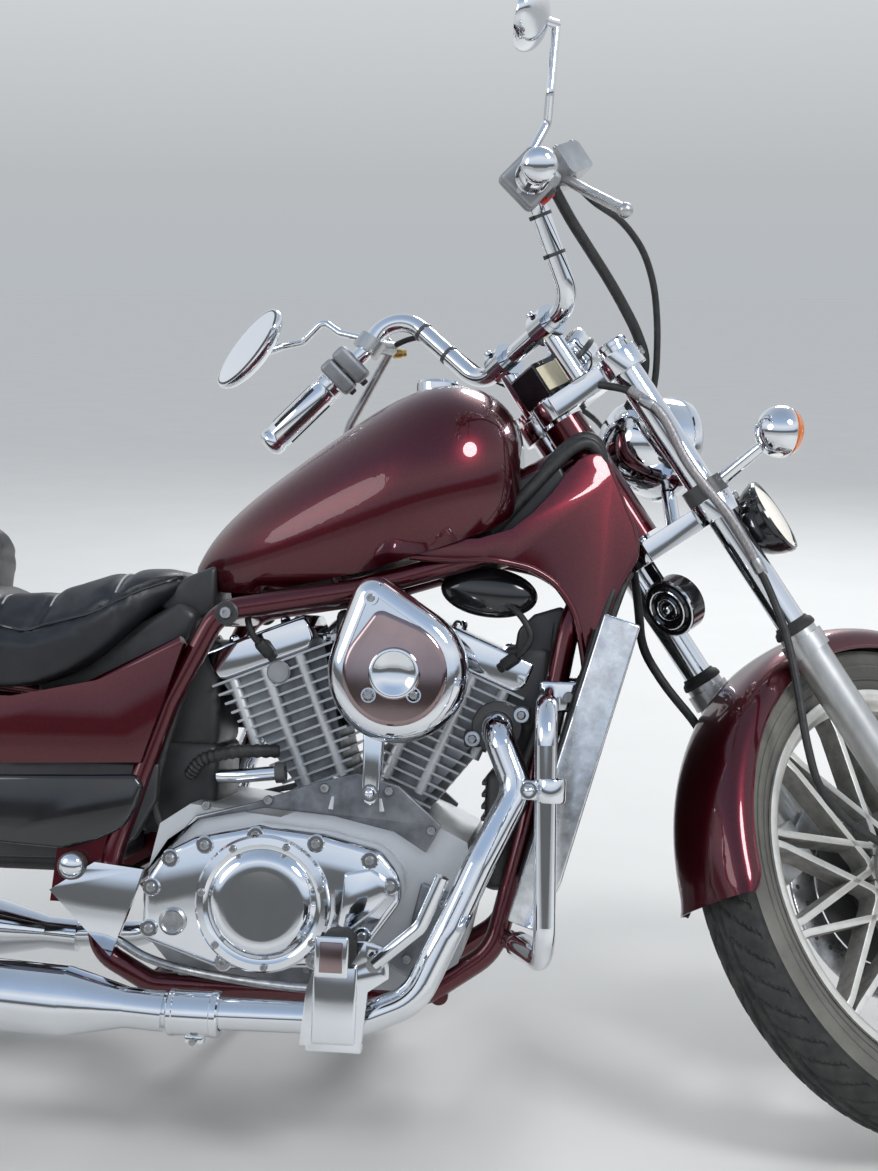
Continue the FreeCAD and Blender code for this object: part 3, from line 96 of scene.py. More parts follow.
class MachineColours(bpy.types.PropertyGroup):
    """Colours of the machine's finishes."""
    paint: bpy.props.FloatVectorProperty(
        name="Paint", description="Metallic paint of the tank and fenders", subtype="COLOR", size=3,
        default=(0.030, 0.0009, 0.004), min=0, max=1)
    paint_glow: bpy.props.FloatVectorProperty(
        name="Paint glow", description="Flakes of the paint that catch the light", subtype="COLOR", size=3,
        default=(0.155, 0.0028, 0.013), min=0, max=1)
    leather: bpy.props.FloatVectorProperty(
        name="Leather", description="Seat covers", subtype="COLOR", size=3,
        default=(0.006, 0.007, 0.009), min=0, max=1)
    chrome: bpy.props.FloatVectorProperty(
        name="Chrome", description="Tint of the chromed pieces", subtype="COLOR", size=3,
        default=(0.80, 0.82, 0.85), min=0, max=1)
    casting: bpy.props.FloatVectorProperty(
        name="Casting", description="Oxidised cast aluminium of the engine", subtype="COLOR", size=3,
        default=(0.15, 0.157, 0.17), min=0, max=1)
    floor: bpy.props.FloatVectorProperty(
        name="Floor", description="Plain floor", subtype="COLOR", size=3,
        default=(0.66, 0.66, 0.655), min=0, max=1)


class MachineSizes(bpy.types.PropertyGroup):
    """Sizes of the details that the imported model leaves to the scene."""
    voxel: bpy.props.FloatProperty(
        name="Pad mesh", description="Voxel of the padded seats", subtype="DISTANCE", unit="LENGTH",
        default=0.006, min=0.003, max=0.02)
    swell: bpy.props.FloatProperty(
        name="Pad swell", description="Most that a seat's cover may move as it fills", subtype="DISTANCE",
        unit="LENGTH", default=0.011, min=0, max=0.03)
    tread: bpy.props.FloatProperty(
        name="Tread depth", description="Depth of the tyres' grooves, in millimetres",
        default=3.2, min=0, max=8)
    coil: bpy.props.IntProperty(
        name="Spring turns", description="Turns of a shock absorber's spring", default=9, min=3, max=20)


def colours():
    """The colour settings of the scene."""
    return bpy.context.scene.cruiser_colours


def sizes():
    """The size settings of the scene."""
    return bpy.context.scene.cruiser_sizes


# Mesh work: each maker returns a bmesh in millimetres

def turned(profile, steps=48):
    """A closed body of revolution about z from (radius, height) pairs."""
    body = bmesh.new()
    rings = []
    for radius, height in profile:
        if radius < 1e-6:
            rings.append([body.verts.new((0, 0, height))])
            continue
        rings.append([body.verts.new((radius * math.cos(math.tau * step / steps),
                                      radius * math.sin(math.tau * step / steps), height))
                      for step in range(steps)])
    pairs = list(zip(rings, rings[1:]))
    if len(rings[0]) > 1 and len(rings[-1]) > 1:
        pairs.append((rings[-1], rings[0]))
    for low, high in pairs:
        for step in range(steps):
            after = (step + 1) % steps
            corners = [low[step % len(low)], low[after % len(low)], high[after % len(high)],
                       high[step % len(high)]]
            corners = list(dict.fromkeys(corners))
            if len(corners) > 2:
                body.faces.new(corners)
    bmesh.ops.recalc_face_normals(body, faces=body.faces)
    return body


def line_points(points, steps=8):
    """A smooth line through the points."""
    points = [Vector(point) for point in points]
    if len(points) < 3:
        return points
    padded = [points[0] * 2 - points[1]] + points + [points[-1] * 2 - points[-2]]
    line = []
    for before, here, there, after in zip(padded, padded[1:], padded[2:], padded[3:]):
        for step in range(steps):
            share = step / steps
            line.append(0.5 * ((2 * here) + (there - before) * share
                               + (2 * before - 5 * here + 4 * there - after) * share ** 2
                               + (3 * here - before - 3 * there + after) * share ** 3))
    return line + [points[-1]]


def skin(body, rings):
    """Faces between closed rings of the same count."""
    for low, high in zip(rings, rings[1:]):
        for number in range(len(low)):
            after = (number + 1) % len(low)
            body.faces.new((low[number], low[after], high[after], high[number]))


def bar(points, radius, sides=14, radii=None):
    """A round bar along a line, with closed ends."""
    points = [Vector(point) for point in points]
    body = bmesh.new()
    ways = [(points[min(number + 1, len(points) - 1)] - points[max(number - 1, 0)]).normalized()
            for number in range(len(points))]
    normal = ways[0].orthogonal().normalized()
    rings = []
    for number, (point, way) in enumerate(zip(points, ways)):
        normal = (normal - way * normal.dot(way)).normalized()
        across = way.cross(normal)
        size = radii[number] if radii else radius
        rings.append([body.verts.new(point + (normal * math.cos(math.tau * side / sides)
                                              + across * math.sin(math.tau * side / sides)) * size)
                      for side in range(sides)])
    skin(body, rings)
    body.faces.new(list(reversed(rings[0])))
    body.faces.new(rings[-1])
    bmesh.ops.recalc_face_normals(body, faces=body.faces)
    return body


def rounded(body, width, segments=3):
    """Bevels every edge that is sharper than a third of a right angle."""
    sharp = [edge for edge in body.edges if len(edge.link_faces) == 2 and edge.calc_face_angle() > 0.5]
    bmesh.ops.bevel(body, geom=sharp, offset=width, segments=segments, profile=0.5, affect="EDGES",
                    clamp_overlap=True)
    return body


def brick(low, high, width=0, segments=3):
    """A box between two corners with rounded edges."""
    body = bmesh.new()
    low, high = Vector(low), Vector(high)
    bmesh.ops.create_cube(body, size=1)
    for vert in body.verts:
        vert.co = Vector([low[axis] if vert.co[axis] < 0 else high[axis] for axis in range(3)])
    return rounded(body, width, segments) if width else body


def flank(side, low, high, width=0, segments=3):
    """A box on one side of the machine, its y given as distances from the middle."""
    inner, outer = sorted((side * low[1], side * high[1]))
    return brick((low[0], inner, low[2]), (high[0], outer, high[2]), width, segments)


def prism(near, far, width=0, segments=3):
    """A closed body between two outlines of the same count, with rounded edges."""
    body = bmesh.new()
    near, far = ([body.verts.new(spot) for spot in outline] for outline in (near, far))
    body.faces.new(near)
    body.faces.new(list(reversed(far)))
    for number in range(len(near)):
        after = (number + 1) % len(near)
        body.faces.new((near[after], near[number], far[number], far[after]))
    bmesh.ops.recalc_face_normals(body, faces=body.faces)
    return rounded(body, width, segments) if width else body


def plate(outline, y_from, y_to, width=0, segments=3):
    """A side-view outline made thick across the machine, with rounded edges."""
    return prism([(x, y_from, z) for x, z in outline], [(x, y_to, z) for x, z in outline], width, segments)


def aimed(centre, way, roll=0):
    """A matrix whose z points along a way from a centre."""
    way = Vector(way).normalized()
    return (Matrix.Translation(Vector(centre)) @ way.to_track_quat("Z", "Y").to_matrix().to_4x4()
            @ Matrix.Rotation(roll, 4, "Z"))


class Piece:
    """Parts gathered into one mesh object."""

    def __init__(self, *finish_names):
        self.body = bmesh.new()
        self.materials = [FINISHES[name] for name in finish_names]

    def add(self, part, index=0, place=None):
        """Takes a part in, with its material's number, or with None as its faces have it."""
        if place is not None:
            part.transform(place)
        if index is not None:
            for face in part.faces:
                face.material_index = index
        mesh = bpy.data.meshes.new("part")
        part.to_mesh(mesh)
        part.free()
        self.body.from_mesh(mesh)
        bpy.data.meshes.remove(mesh)
        return self

    def disc(self, x, y, z, profile, steps=64, index=0):
        """A turned part whose axis points to the machine's right."""
        return self.add(turned(profile, steps), index, aimed((x, y, z), (0, -1, 0)))

    def screw(self, centre, way, radius=5, index=0):
        """A screw head with a sunk socket."""
        hole = radius * 0.45
        head = turned([(0, radius * 0.2), (hole, radius * 0.2), (hole, radius * 0.75),
                       (radius * 0.85, radius * 0.75), (radius, radius * 0.5), (radius, -1), (0, -1)], 16)
        return self.add(head, index, aimed(centre, way))

    def acorn(self, centre, way, radius=7, index=0):
        """A domed nut on a washer."""
        self.add(turned([(0, -1), (radius * 1.35, -1), (radius * 1.35, 1.2), (0, 1.2)], 20), index,
                 aimed(centre, way))
        self.add(turned([(0, 1), (radius, 1), (radius, radius * 0.8), (0, radius * 0.8)], 6), index,
                 aimed(centre, way))
        dome = [(radius * 0.86 * math.cos(turn), radius * (0.8 + 0.75 * math.sin(turn)))
                for turn in (0, 0.4, 0.8, 1.2)]
        return self.add(turned([(0, radius * 0.7)] + dome + [(0, radius * 1.55)], 20), index,
                        aimed(centre, way))

    def done(self, name, place, body, slot, replaces=()):
        """Sets the object in its place and hands it to the frame."""
        self.body.transform(place)
        for edge in self.body.edges:
            edge.smooth = not (len(edge.link_faces) == 2 and edge.calc_face_angle() > 0.62)
        for face in self.body.faces:
            face.smooth = True
        mesh = bpy.data.meshes.new(name)
        self.body.to_mesh(mesh)
        self.body.free()
        for material in self.materials:
            mesh.materials.append(material)
        return hand_over(mesh, name, body, replaces)


def hand_over(mesh, name, body, replaces=()):
    """Makes an object of a mesh in the machine's frame and fixes it to its body."""
    piece = bpy.data.objects.new(name, mesh)
    bpy.context.scene.collection.objects.link(piece)
    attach(piece, body)
    if replaces:
        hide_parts(*replaces)
    return piece


# Materials

def node_of(tree, kind, **values):
    """A node with some of its properties and inputs set."""
    node = tree.nodes.new(kind)
    for key, value in values.items():
        if hasattr(node, key):
            setattr(node, key, value)
        else:
            node.inputs[key.replace("_", " ")].default_value = value
    return node


def ramp_between(tree, source, low, high, first=0.35, last=0.65):
    """A colour that runs from one to another as a texture's value rises."""
    ramp = tree.nodes.new("ShaderNodeValToRGB")
    ramp.color_ramp.elements[0].position = first
    ramp.color_ramp.elements[1].position = last
    ramp.color_ramp.elements[0].color = (*low, 1)
    ramp.color_ramp.elements[1].color = (*high, 1)
    tree.links.new(source, ramp.inputs["Fac"])
    return ramp.outputs["Color"]


def finish(name, low, high, scale=18, rough=(0.3, 0.45), metallic=0.0, grain=0.0, grain_scale=600,
           coat=0.0, sheen=0.0, dents=0.0, dent_scale=6, pattern="noise", ior=1.5, wear=None, stretch=None):
    """A shader whose colour, gloss and relief vary at the scale of the real finish."""
    material = bpy.data.materials.new(name)
    material.use_nodes = True
    tree = material.node_tree
    shader = tree.nodes["Principled BSDF"]
    shader.inputs["Metallic"].default_value = metallic
    shader.inputs["Coat Weight"].default_value = coat
    shader.inputs["Coat Roughness"].default_value = 0.03
    shader.inputs["Sheen Weight"].default_value = sheen
    shader.inputs["IOR"].default_value = ior
    where = tree.nodes.new("ShaderNodeTexCoord").outputs["Object"]
    if stretch:
        mapping = node_of(tree, "ShaderNodeMapping")
        mapping.inputs["Scale"].default_value = stretch
        tree.links.new(where, mapping.inputs["Vector"])
        where = mapping.outputs["Vector"]
    if pattern == "flakes":
        texture = node_of(tree, "ShaderNodeTexVoronoi", Scale=scale)
        value = texture.outputs["Color"]
    else:
        texture = node_of(tree, "ShaderNodeTexNoise", Scale=scale, Detail=6.0, Roughness=0.6)
        value = texture.outputs["Fac"]
    tree.links.new(where, texture.inputs["Vector"])
    colour = ramp_between(tree, value, low, high, *((0.2, 0.95) if pattern == "flakes" else (0.35, 0.65)))
    if wear:
        bump_edge = node_of(tree, "ShaderNodeNewGeometry")
        worn = node_of(tree, "ShaderNodeMix", data_type="RGBA")
        gate = node_of(tree, "ShaderNodeMapRange")
        gate.inputs["From Min"].default_value = 0.53
        gate.inputs["From Max"].default_value = 0.6
        tree.links.new(bump_edge.outputs["Pointiness"], gate.inputs["Value"])
        tree.links.new(gate.outputs["Result"], worn.inputs["Factor"])
        tree.links.new(colour, worn.inputs["A"])
        worn.inputs["B"].default_value = (*wear, 1)
        colour = worn.outputs["Result"]
    tree.links.new(colour, shader.inputs["Base Color"])
    smudge = node_of(tree, "ShaderNodeTexNoise", Scale=scale * 0.37 + 3, Detail=8.0, Roughness=0.7)
    tree.links.new(where, smudge.inputs["Vector"])
    gloss = node_of(tree, "ShaderNodeMapRange")
    gloss.inputs["From Min"].default_value = 0.3
    gloss.inputs["From Max"].default_value = 0.7
    gloss.inputs["To Min"].default_value = rough[0]
    gloss.inputs["To Max"].default_value = rough[1]
    tree.links.new(smudge.outputs["Fac"], gloss.inputs["Value"])
    tree.links.new(gloss.outputs["Result"], shader.inputs["Roughness"])
    normal = None
    for strength, size, deep in ((grain, grain_scale, 0.0004), (dents, dent_scale, 0.004)):
        if strength <= 0:
            continue
        relief = node_of(tree, "ShaderNodeTexVoronoi" if pattern == "leather" and size > 100
                         else "ShaderNodeTexNoise", Scale=size)
        tree.links.new(where, relief.inputs["Vector"])
        bump = node_of(tree, "ShaderNodeBump")
        bump.inputs["Strength"].default_value = strength
        bump.inputs["Distance"].default_value = deep
        out = "Distance" if relief.bl_idname == "ShaderNodeTexVoronoi" else "Fac"
        tree.links.new(relief.outputs[out], bump.inputs["Height"])
        if normal:
            tree.links.new(normal, bump.inputs["Normal"])
        normal = bump.outputs["Normal"]
    if normal:
        tree.links.new(normal, shader.inputs["Normal"])
    return material


def lens_finish(name, low, high, through=0.6, rough=(0.04, 0.1), scale=90):
    """A moulded lens with fine flutes that lets light through."""
    material = finish(name, low, high, scale=scale, rough=rough, grain=0.25, grain_scale=220, coat=0.6)
    shader = material.node_tree.nodes["Principled BSDF"]
    shader.inputs["Transmission Weight"].default_value = through
    return material


FINISHES = {}


def make_finishes():
    """Every finish of the machine, by its plain name."""
    tint = colours()
    paint, glow = tuple(tint.paint), tuple(tint.paint_glow)
    chrome, cast = tuple(tint.chrome), tuple(tint.casting)
    shade = lambda colour, share: tuple(part * share for part in colour)
    FINISHES.update(
        paint=finish("maroon_paint", paint, glow, 2600, (0.28, 0.36), 0.85, coat=1.0, pattern="flakes",
                     dents=0.03, dent_scale=3),
        chrome=finish("chrome", shade(chrome, 0.94), chrome, 12, (0.03, 0.09), 1.0, grain=0.02,
                      grain_scale=900, dents=0.02, dent_scale=9),
        smoked=finish("smoked_chrome", (0.30, 0.22, 0.22), (0.38, 0.29, 0.29), 10, (0.07, 0.16), 1.0,
                      grain=0.03, grain_scale=900),
        brass=finish("brass", (0.55, 0.36, 0.12), (0.68, 0.47, 0.18), 90, (0.25, 0.4), 1.0,
                     grain=0.2, grain_scale=900),
        dusty_chrome=finish("dusty_chrome", shade(chrome, 0.7), chrome, 60, (0.08, 0.3), 1.0, grain=0.05,
                            grain_scale=500),
        casting=finish("cast_aluminium", shade(cast, 0.62), shade(cast, 1.35), 34, (0.38, 0.6), 0.75,
                       grain=0.5, grain_scale=900, dents=0.12, dent_scale=40, wear=(0.62, 0.63, 0.64)),
        fins=finish("finned_barrel", (0.085, 0.09, 0.1), (0.19, 0.2, 0.215), 50, (0.36, 0.55), 0.7,
                    grain=0.4, grain_scale=1100, wear=(0.5, 0.52, 0.54)),
        satin=finish("satin_aluminium", (0.42, 0.42, 0.42), (0.6, 0.6, 0.59), 22, (0.24, 0.42), 0.9,
                     grain=0.15, grain_scale=1200, stretch=(1, 1, 0.25)),
        spoke=finish("machined_face", (0.66, 0.65, 0.61), (0.78, 0.77, 0.73), 40, (0.28, 0.42), 0.55,
                     grain=0.2, grain_scale=1500),
        spoke_side=finish("cast_spoke", (0.20, 0.19, 0.18), (0.33, 0.32, 0.3), 60, (0.5, 0.7), 0.4,
                          grain=0.5, grain_scale=700),
        black=finish("black_paint", (0.010, 0.010, 0.011), (0.022, 0.022, 0.024), 30, (0.25, 0.5), 0.0,
                     grain=0.2, grain_scale=900, wear=(0.07, 0.07, 0.072)),
        gloss_black=finish("gloss_black", (0.006, 0.006, 0.007), (0.014, 0.014, 0.016), 14, (0.08, 0.2),
                           0.0, coat=0.6, dents=0.03, dent_scale=8),
        rubber=finish("rubber", (0.012, 0.012, 0.012), (0.03, 0.03, 0.03), 60, (0.55, 0.8), 0.0,
                      grain=0.4, grain_scale=1100),
        leather=finish("leather", tuple(tint.leather), shade(tuple(tint.leather), 1.9), 28, (0.34, 0.46),
                       0.0, grain=0.55, grain_scale=900, coat=0.06, dents=0.10, dent_scale=26,
                       pattern="leather"),
        piping=finish("seat_piping", (0.28, 0.29, 0.31), (0.4, 0.41, 0.43), 200, (0.25, 0.4), 0.0,
                      grain=0.2, grain_scale=1500),
        tyre=finish("tyre_tread", (0.014, 0.014, 0.014), (0.035, 0.034, 0.032), 45, (0.6, 0.85), 0.0,
                    grain=0.5, grain_scale=700, dents=0.1, dent_scale=60),
        sidewall=finish("tyre_sidewall", (0.085, 0.082, 0.074), (0.20, 0.195, 0.175), 7, (0.65, 0.85),
                        0.0, grain=0.35, grain_scale=500, dents=0.1, dent_scale=30),
        steel=finish("brushed_steel", (0.34, 0.34, 0.34), (0.52, 0.52, 0.52), 80, (0.22, 0.42), 1.0,
                     grain=0.3, grain_scale=900),
        amber=lens_finish("amber_lens", (0.75, 0.16, 0.01), (0.95, 0.28, 0.02), 0.35),
        red=lens_finish("red_lens", (0.45, 0.006, 0.008), (0.62, 0.012, 0.014), 0.3),
        glass=lens_finish("clear_lens", (0.86, 0.88, 0.9), (0.95, 0.96, 0.97), 0.85, (0.02, 0.06)),
        # Glass of the extra lamp, which also glows below: a painted glare standing in for the sun's
        # reflection on the lamp
        lit=lens_finish("lit_lens", (0.40, 0.39, 0.35), (0.48, 0.46, 0.42), 0.2, (0.04, 0.1)),
        mirror=finish("mirror_glass", (0.82, 0.85, 0.88), (0.88, 0.9, 0.93), 5, (0.0, 0.02), 1.0),
        white=finish("white_plate", (0.72, 0.72, 0.7), (0.8, 0.8, 0.78), 9, (0.3, 0.45), 0.0,
                     grain=0.15, grain_scale=500, coat=0.3),
        cream=finish("cream_plastic", (0.62, 0.56, 0.4), (0.72, 0.67, 0.5), 40, (0.4, 0.55), 0.0,
                     grain=0.3, grain_scale=600),
        hose=finish("black_hose", (0.012, 0.012, 0.012), (0.028, 0.028, 0.028), 90, (0.4, 0.6), 0.0,
                    grain=0.4, grain_scale=900),
        braid=finish("cable_braid", (0.2, 0.19, 0.2), (0.42, 0.4, 0.4), 700, (0.3, 0.45), 0.6,
                     grain=0.6, grain_scale=1800, stretch=(1, 1, 0.3)),
        core=finish("radiator_core", (0.01, 0.01, 0.01), (0.03, 0.03, 0.03), 300, (0.5, 0.7), 0.3,
                    grain=0.6, grain_scale=900),
        dial=finish("dial_face", (0.012, 0.012, 0.014), (0.02, 0.02, 0.022), 30, (0.35, 0.5), 0.0,
                    grain=0.1, grain_scale=900),
    )
    # Painted glare: the extra lamp's glass glows a little to stand in for the sun's bright reflection on it
    glow = FINISHES["lit"].node_tree.nodes["Principled BSDF"]
    glow.inputs["Emission Color"].default_value = (1.0, 0.95, 0.86, 1)
    glow.inputs["Emission Strength"].default_value = 0.5


NODE_FINISH = {
    "frame": "paint", "neck_covers": "paint", "fuel_tank": "paint", "fuel_cap": "chrome",
    "side_covers": "paint", "battery_box": "black", "crankcase": "casting",
    "cylinder_rear": "fins", "cylinder_front": "fins", "rocker_covers": "chrome",
    "clutch_cover": "chrome", "generator_cover": "chrome", "air_cleaner": "chrome",
    "intake_cover": "chrome", "exhaust_right": "chrome", "exhaust_left": "chrome",
    "radiator": "core", "radiator_covers": "dusty_chrome", "engine_guards": "chrome",
    "footrest_brackets": "chrome", "footrests": "rubber", "brake_pedal": "chrome",
    "shift_lever": "chrome", "swingarm": "black",
    "final_drive": "casting", "shock_absorbers": "chrome", "rear_brake": "casting",
    "front_tyre": "tyre", "rear_tyre": "tyre", "front_wheel": "spoke_side",
    "rear_wheel": "spoke_side", "brake_disc": "steel", "rear_fender": "paint",
    "front_fender": "paint", "fender_rails": "chrome", "rack_bosses": "chrome", "tail_lamp": "red",
    "number_plate": "white", "rear_signals": "chrome", "fork_clamps": "chrome",
    "fork_tubes": "chrome", "fork_sliders": "satin", "handlebar": "chrome", "hand_grips": "chrome",
    "switch_housings": "casting", "hand_levers": "satin", "bar_risers": "chrome",
    "mirrors": "chrome", "headlight": "chrome", "headlight_lens": "glass", "speedometer": "chrome",
    "auxiliary_lamp": "gloss_black", "front_signals": "chrome", "horn": "gloss_black",
    "brake_caliper": "casting", "side_stand": "black", "indicator_box": "gloss_black",
    "cables": "hose", "rider_seat": "leather", "pillion_seat": "leather",
}


# Sky colours by the height of the view: towards the backdrop, and on the side that the chrome faces
PALE_SIDE = [(0.0, (0.468, 0.495, 0.521)), (0.05, (0.485, 0.502, 0.52)), (0.3, (0.82, 0.84, 0.87)),
             (0.55, (0.60, 0.66, 0.74)), (1.0, (0.34, 0.42, 0.54))]
DEEP_SIDE = [(0.0, (0.30, 0.30, 0.30)), (0.02, (0.13, 0.135, 0.14)), (0.12, (0.14, 0.145, 0.15)),
             (0.19, (0.60, 0.70, 0.84)), (0.42, (0.88, 0.92, 0.98)), (0.7, (0.42, 0.55, 0.76)),
             (1.0, (0.34, 0.42, 0.54))]
# The camera: its way from the rear wheel's middle, its yaw, pitch and roll in degrees, its lens
CAMERA_WAY, CAMERA_TURN, CAMERA_LENS = (1.141617, -2.073186, 0.758978), (-5.47, 10.77, 0.27), 51.463
# Lamps: name, place, aim, power, size
LAMPS = [("key", (3.4, -2.6, 4.4), (0.1, 0, 0.6), 120, 1.6),
         ("fill", (-4.0, -3.2, 3.0), (0, 0, 0.5), 40, 2.6),
         ("back", (1.2, 4.2, 3.6), (0, 0, 0.6), 112, 1.8)]


def sky_ramp(tree, value, rows):
    """A colour by height in the sky, through the rows' places and colours."""
    ramp = tree.nodes.new("ShaderNodeValToRGB")
    points = ramp.color_ramp.elements
    points[0].position, points[0].color = rows[0][0], (*rows[0][1], 1)
    points[1].position, points[1].color = rows[-1][0], (*rows[-1][1], 1)
    for place, colour in rows[1:-1]:
        points.new(place).color = (*colour, 1)
    tree.links.new(value, ramp.inputs["Fac"])
    return ramp.outputs["Color"]


def set_camera(scene):
    """Sets the camera as in the photo, from the rear wheel's middle."""
    low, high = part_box("rear_wheel")
    at = (low + high) / 2 + Vector(CAMERA_WAY)
    yaw, pitch, roll = (math.radians(angle) for angle in CAMERA_TURN)
    forward = Vector((math.sin(yaw) * math.cos(pitch), math.cos(yaw) * math.cos(pitch),
                      -math.sin(pitch)))
    level = Vector((math.cos(yaw), -math.sin(yaw), 0))
    upward = level.cross(forward)
    right = level * math.cos(roll) + upward * math.sin(roll)
    upward = right.cross(forward)
    data = bpy.data.cameras.new("photo_camera")
    data.lens, data.sensor_fit, data.sensor_height = CAMERA_LENS, "VERTICAL", 36
    data.clip_start, data.clip_end = 0.05, 200
    camera = bpy.data.objects.new("photo_camera", data)
    camera.matrix_world = (Matrix.Translation(at)
                           @ Matrix((right, upward, -forward)).transposed().to_4x4())
    scene.collection.objects.link(camera)
    scene.camera = camera


def lay_floor(scene):
    """Lays a plain floor."""
    mesh = bpy.data.meshes.new("floor")
    body = bmesh.new()
    bmesh.ops.create_circle(body, cap_ends=True, radius=60, segments=96)
    body.to_mesh(mesh)
    body.free()
    floor = bpy.data.objects.new("floor", mesh)
    scene.collection.objects.link(floor)
    ground = finish("plain_floor", tuple(colours().floor), tuple(part * 1.03 for part in colours().floor),
                    3, (0.7, 0.85), grain=0.1, grain_scale=300)
    mesh.materials.append(ground)


def light_world(scene):
    """Sets the studio round the machine: one sky for the chrome and one for the backdrop."""
    world = bpy.data.worlds.new("studio")
    scene.world = world
    world.use_nodes = True
    tree = world.node_tree
    shell, output = tree.nodes["Background"], tree.nodes["World Output"]
    shell.inputs["Color"].default_value = (0.92, 0.96, 1.0, 1)
    shell.inputs["Strength"].default_value = 0.74
    where = tree.nodes.new("ShaderNodeTexCoord")
    parts = tree.nodes.new("ShaderNodeSeparateXYZ")
    tree.links.new(where.outputs["Generated"], parts.inputs["Vector"])
    pale = sky_ramp(tree, parts.outputs["Z"], PALE_SIDE)
    deep = sky_ramp(tree, parts.outputs["Z"], DEEP_SIDE)
    side = tree.nodes.new("ShaderNodeMapRange")
    side.interpolation_type = "SMOOTHSTEP"
    side.inputs["From Min"].default_value = 0.25
    side.inputs["From Max"].default_value = -0.25
    tree.links.new(parts.outputs["Y"], side.inputs["Value"])
    path = tree.nodes.new("ShaderNodeLightPath")
    unseen = node_of(tree, "ShaderNodeMath", operation="SUBTRACT")
    unseen.inputs[0].default_value = 1
    tree.links.new(path.outputs["Is Camera Ray"], unseen.inputs[1])
    share = node_of(tree, "ShaderNodeMath", operation="MULTIPLY")
    tree.links.new(side.outputs["Result"], share.inputs[0])
    tree.links.new(unseen.outputs[0], share.inputs[1])
    both = node_of(tree, "ShaderNodeMix", data_type="RGBA")
    tree.links.new(share.outputs[0], both.inputs[0])
    tree.links.new(pale, both.inputs[6])
    tree.links.new(deep, both.inputs[7])
    seen = tree.nodes.new("ShaderNodeBackground")
    seen.inputs["Strength"].default_value = 1
    tree.links.new(both.outputs[2], seen.inputs["Color"])
    glossy = node_of(tree, "ShaderNodeMath", operation="MAXIMUM")
    tree.links.new(path.outputs["Is Camera Ray"], glossy.inputs[0])
    tree.links.new(path.outputs["Is Glossy Ray"], glossy.inputs[1])
    shown = node_of(tree, "ShaderNodeMath", operation="MAXIMUM")
    tree.links.new(glossy.outputs[0], shown.inputs[0])
    tree.links.new(path.outputs["Is Transmission Ray"], shown.inputs[1])
    blend = tree.nodes.new("ShaderNodeMixShader")
    tree.links.new(shown.outputs[0], blend.inputs["Fac"])
    tree.links.new(shell.outputs[0], blend.inputs[1])
    tree.links.new(seen.outputs[0], blend.inputs[2])
    tree.links.new(blend.outputs[0], output.inputs["Surface"])


def hang_lamps(scene):
    """Hangs the lamps."""
    for name, place, aim, power, size in LAMPS:
        lamp = bpy.data.lights.new(name, "AREA")
        lamp.shape, lamp.energy, lamp.size = "DISK", power, size
        light = bpy.data.objects.new(name, lamp)
        light.location = place
        light.rotation_mode = "QUATERNION"
        light.rotation_quaternion = (Vector(place) - Vector(aim)).to_track_quat("Z", "Y")
        scene.collection.objects.link(light)


class CRUISER_OT_stage(bpy.types.Operator):
    """Sets the camera, the lights and the floor"""
    bl_idname = "cruiser.stage"
    bl_label = "Stage"

    def execute(self, context):
        scene = context.scene
        scene.view_settings.view_transform = "Standard"
        set_camera(scene)
        lay_floor(scene)
        light_world(scene)
        hang_lamps(scene)
        return {"FINISHED"}


class CRUISER_OT_finishes(bpy.types.Operator):
    """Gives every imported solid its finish"""
    bl_idname = "cruiser.finishes"
    bl_label = "Finishes"

    def execute(self, context):
        make_finishes()
        for name, node in NODES.items():
            material = FINISHES[NODE_FINISH[name]]
            for slot in node.material_slots:
                slot.material = material
            if not node.material_slots:
                node.data.materials.append(material)
        return {"FINISHED"}


# Seats

def filled_pad(name, node):
    """A copy of a pad's solid, remeshed and blown up a little as cloth."""
    mesh = NODES[node].data.copy()
    pad = bpy.data.objects.new(name, mesh)
    bpy.context.scene.collection.objects.link(pad)
    remesh = pad.modifiers.new("remesh", "REMESH")
    remesh.mode, remesh.voxel_size = "VOXEL", sizes().voxel
    mesh = bpy.data.meshes.new_from_object(pad.evaluated_get(bpy.context.evaluated_depsgraph_get()))
    pad.modifiers.clear()
    pad.data = mesh
    soft = bmesh.new()
    soft.from_mesh(mesh)
    for _ in range(7):
        bmesh.ops.smooth_vert(soft, verts=soft.verts, factor=0.5, use_axis_x=True, use_axis_y=True,
                              use_axis_z=True)
    soft.to_mesh(mesh)
    soft.free()
    start = []
    for vert in mesh.vertices:
        vert.co -= vert.normal * PAD_SHRINK
        start.append(vert.co.copy())
    pins = pad.vertex_groups.new(name="base")
    pins.add([vert.index for vert in mesh.vertices if vert.normal.z < -0.35], 1.0, "REPLACE")
    cloth = pad.modifiers.new("cloth", "CLOTH")
    cloth.settings.vertex_group_mass = "base"
    cloth.settings.use_pressure = True
    cloth.settings.uniform_pressure_force = PAD_PRESSURE
    cloth.settings.tension_stiffness = 30
    cloth.settings.compression_stiffness = 30
    cloth.settings.bending_stiffness = 2
    cloth.settings.quality = 5
    cloth.settings.effector_weights.gravity = 0
    cloth.point_cache.frame_start, cloth.point_cache.frame_end = 1, CLOTH_STEPS
    for step in range(1, CLOTH_STEPS + 1):
        bpy.context.scene.frame_set(step)
    swollen = bpy.data.meshes.new_from_object(
        pad.evaluated_get(bpy.context.evaluated_depsgraph_get()))
    pad.modifiers.clear()
    most = sizes().swell
    for vert, old in zip(swollen.vertices, start):
        move = vert.co - old
        if move.length > most:
            move = move.normalized() * most
        vert.co = old + move
    pad.data = swollen
    bpy.context.scene.frame_set(1)
    for face in pad.data.polygons:
        face.use_smooth = True
    return pad


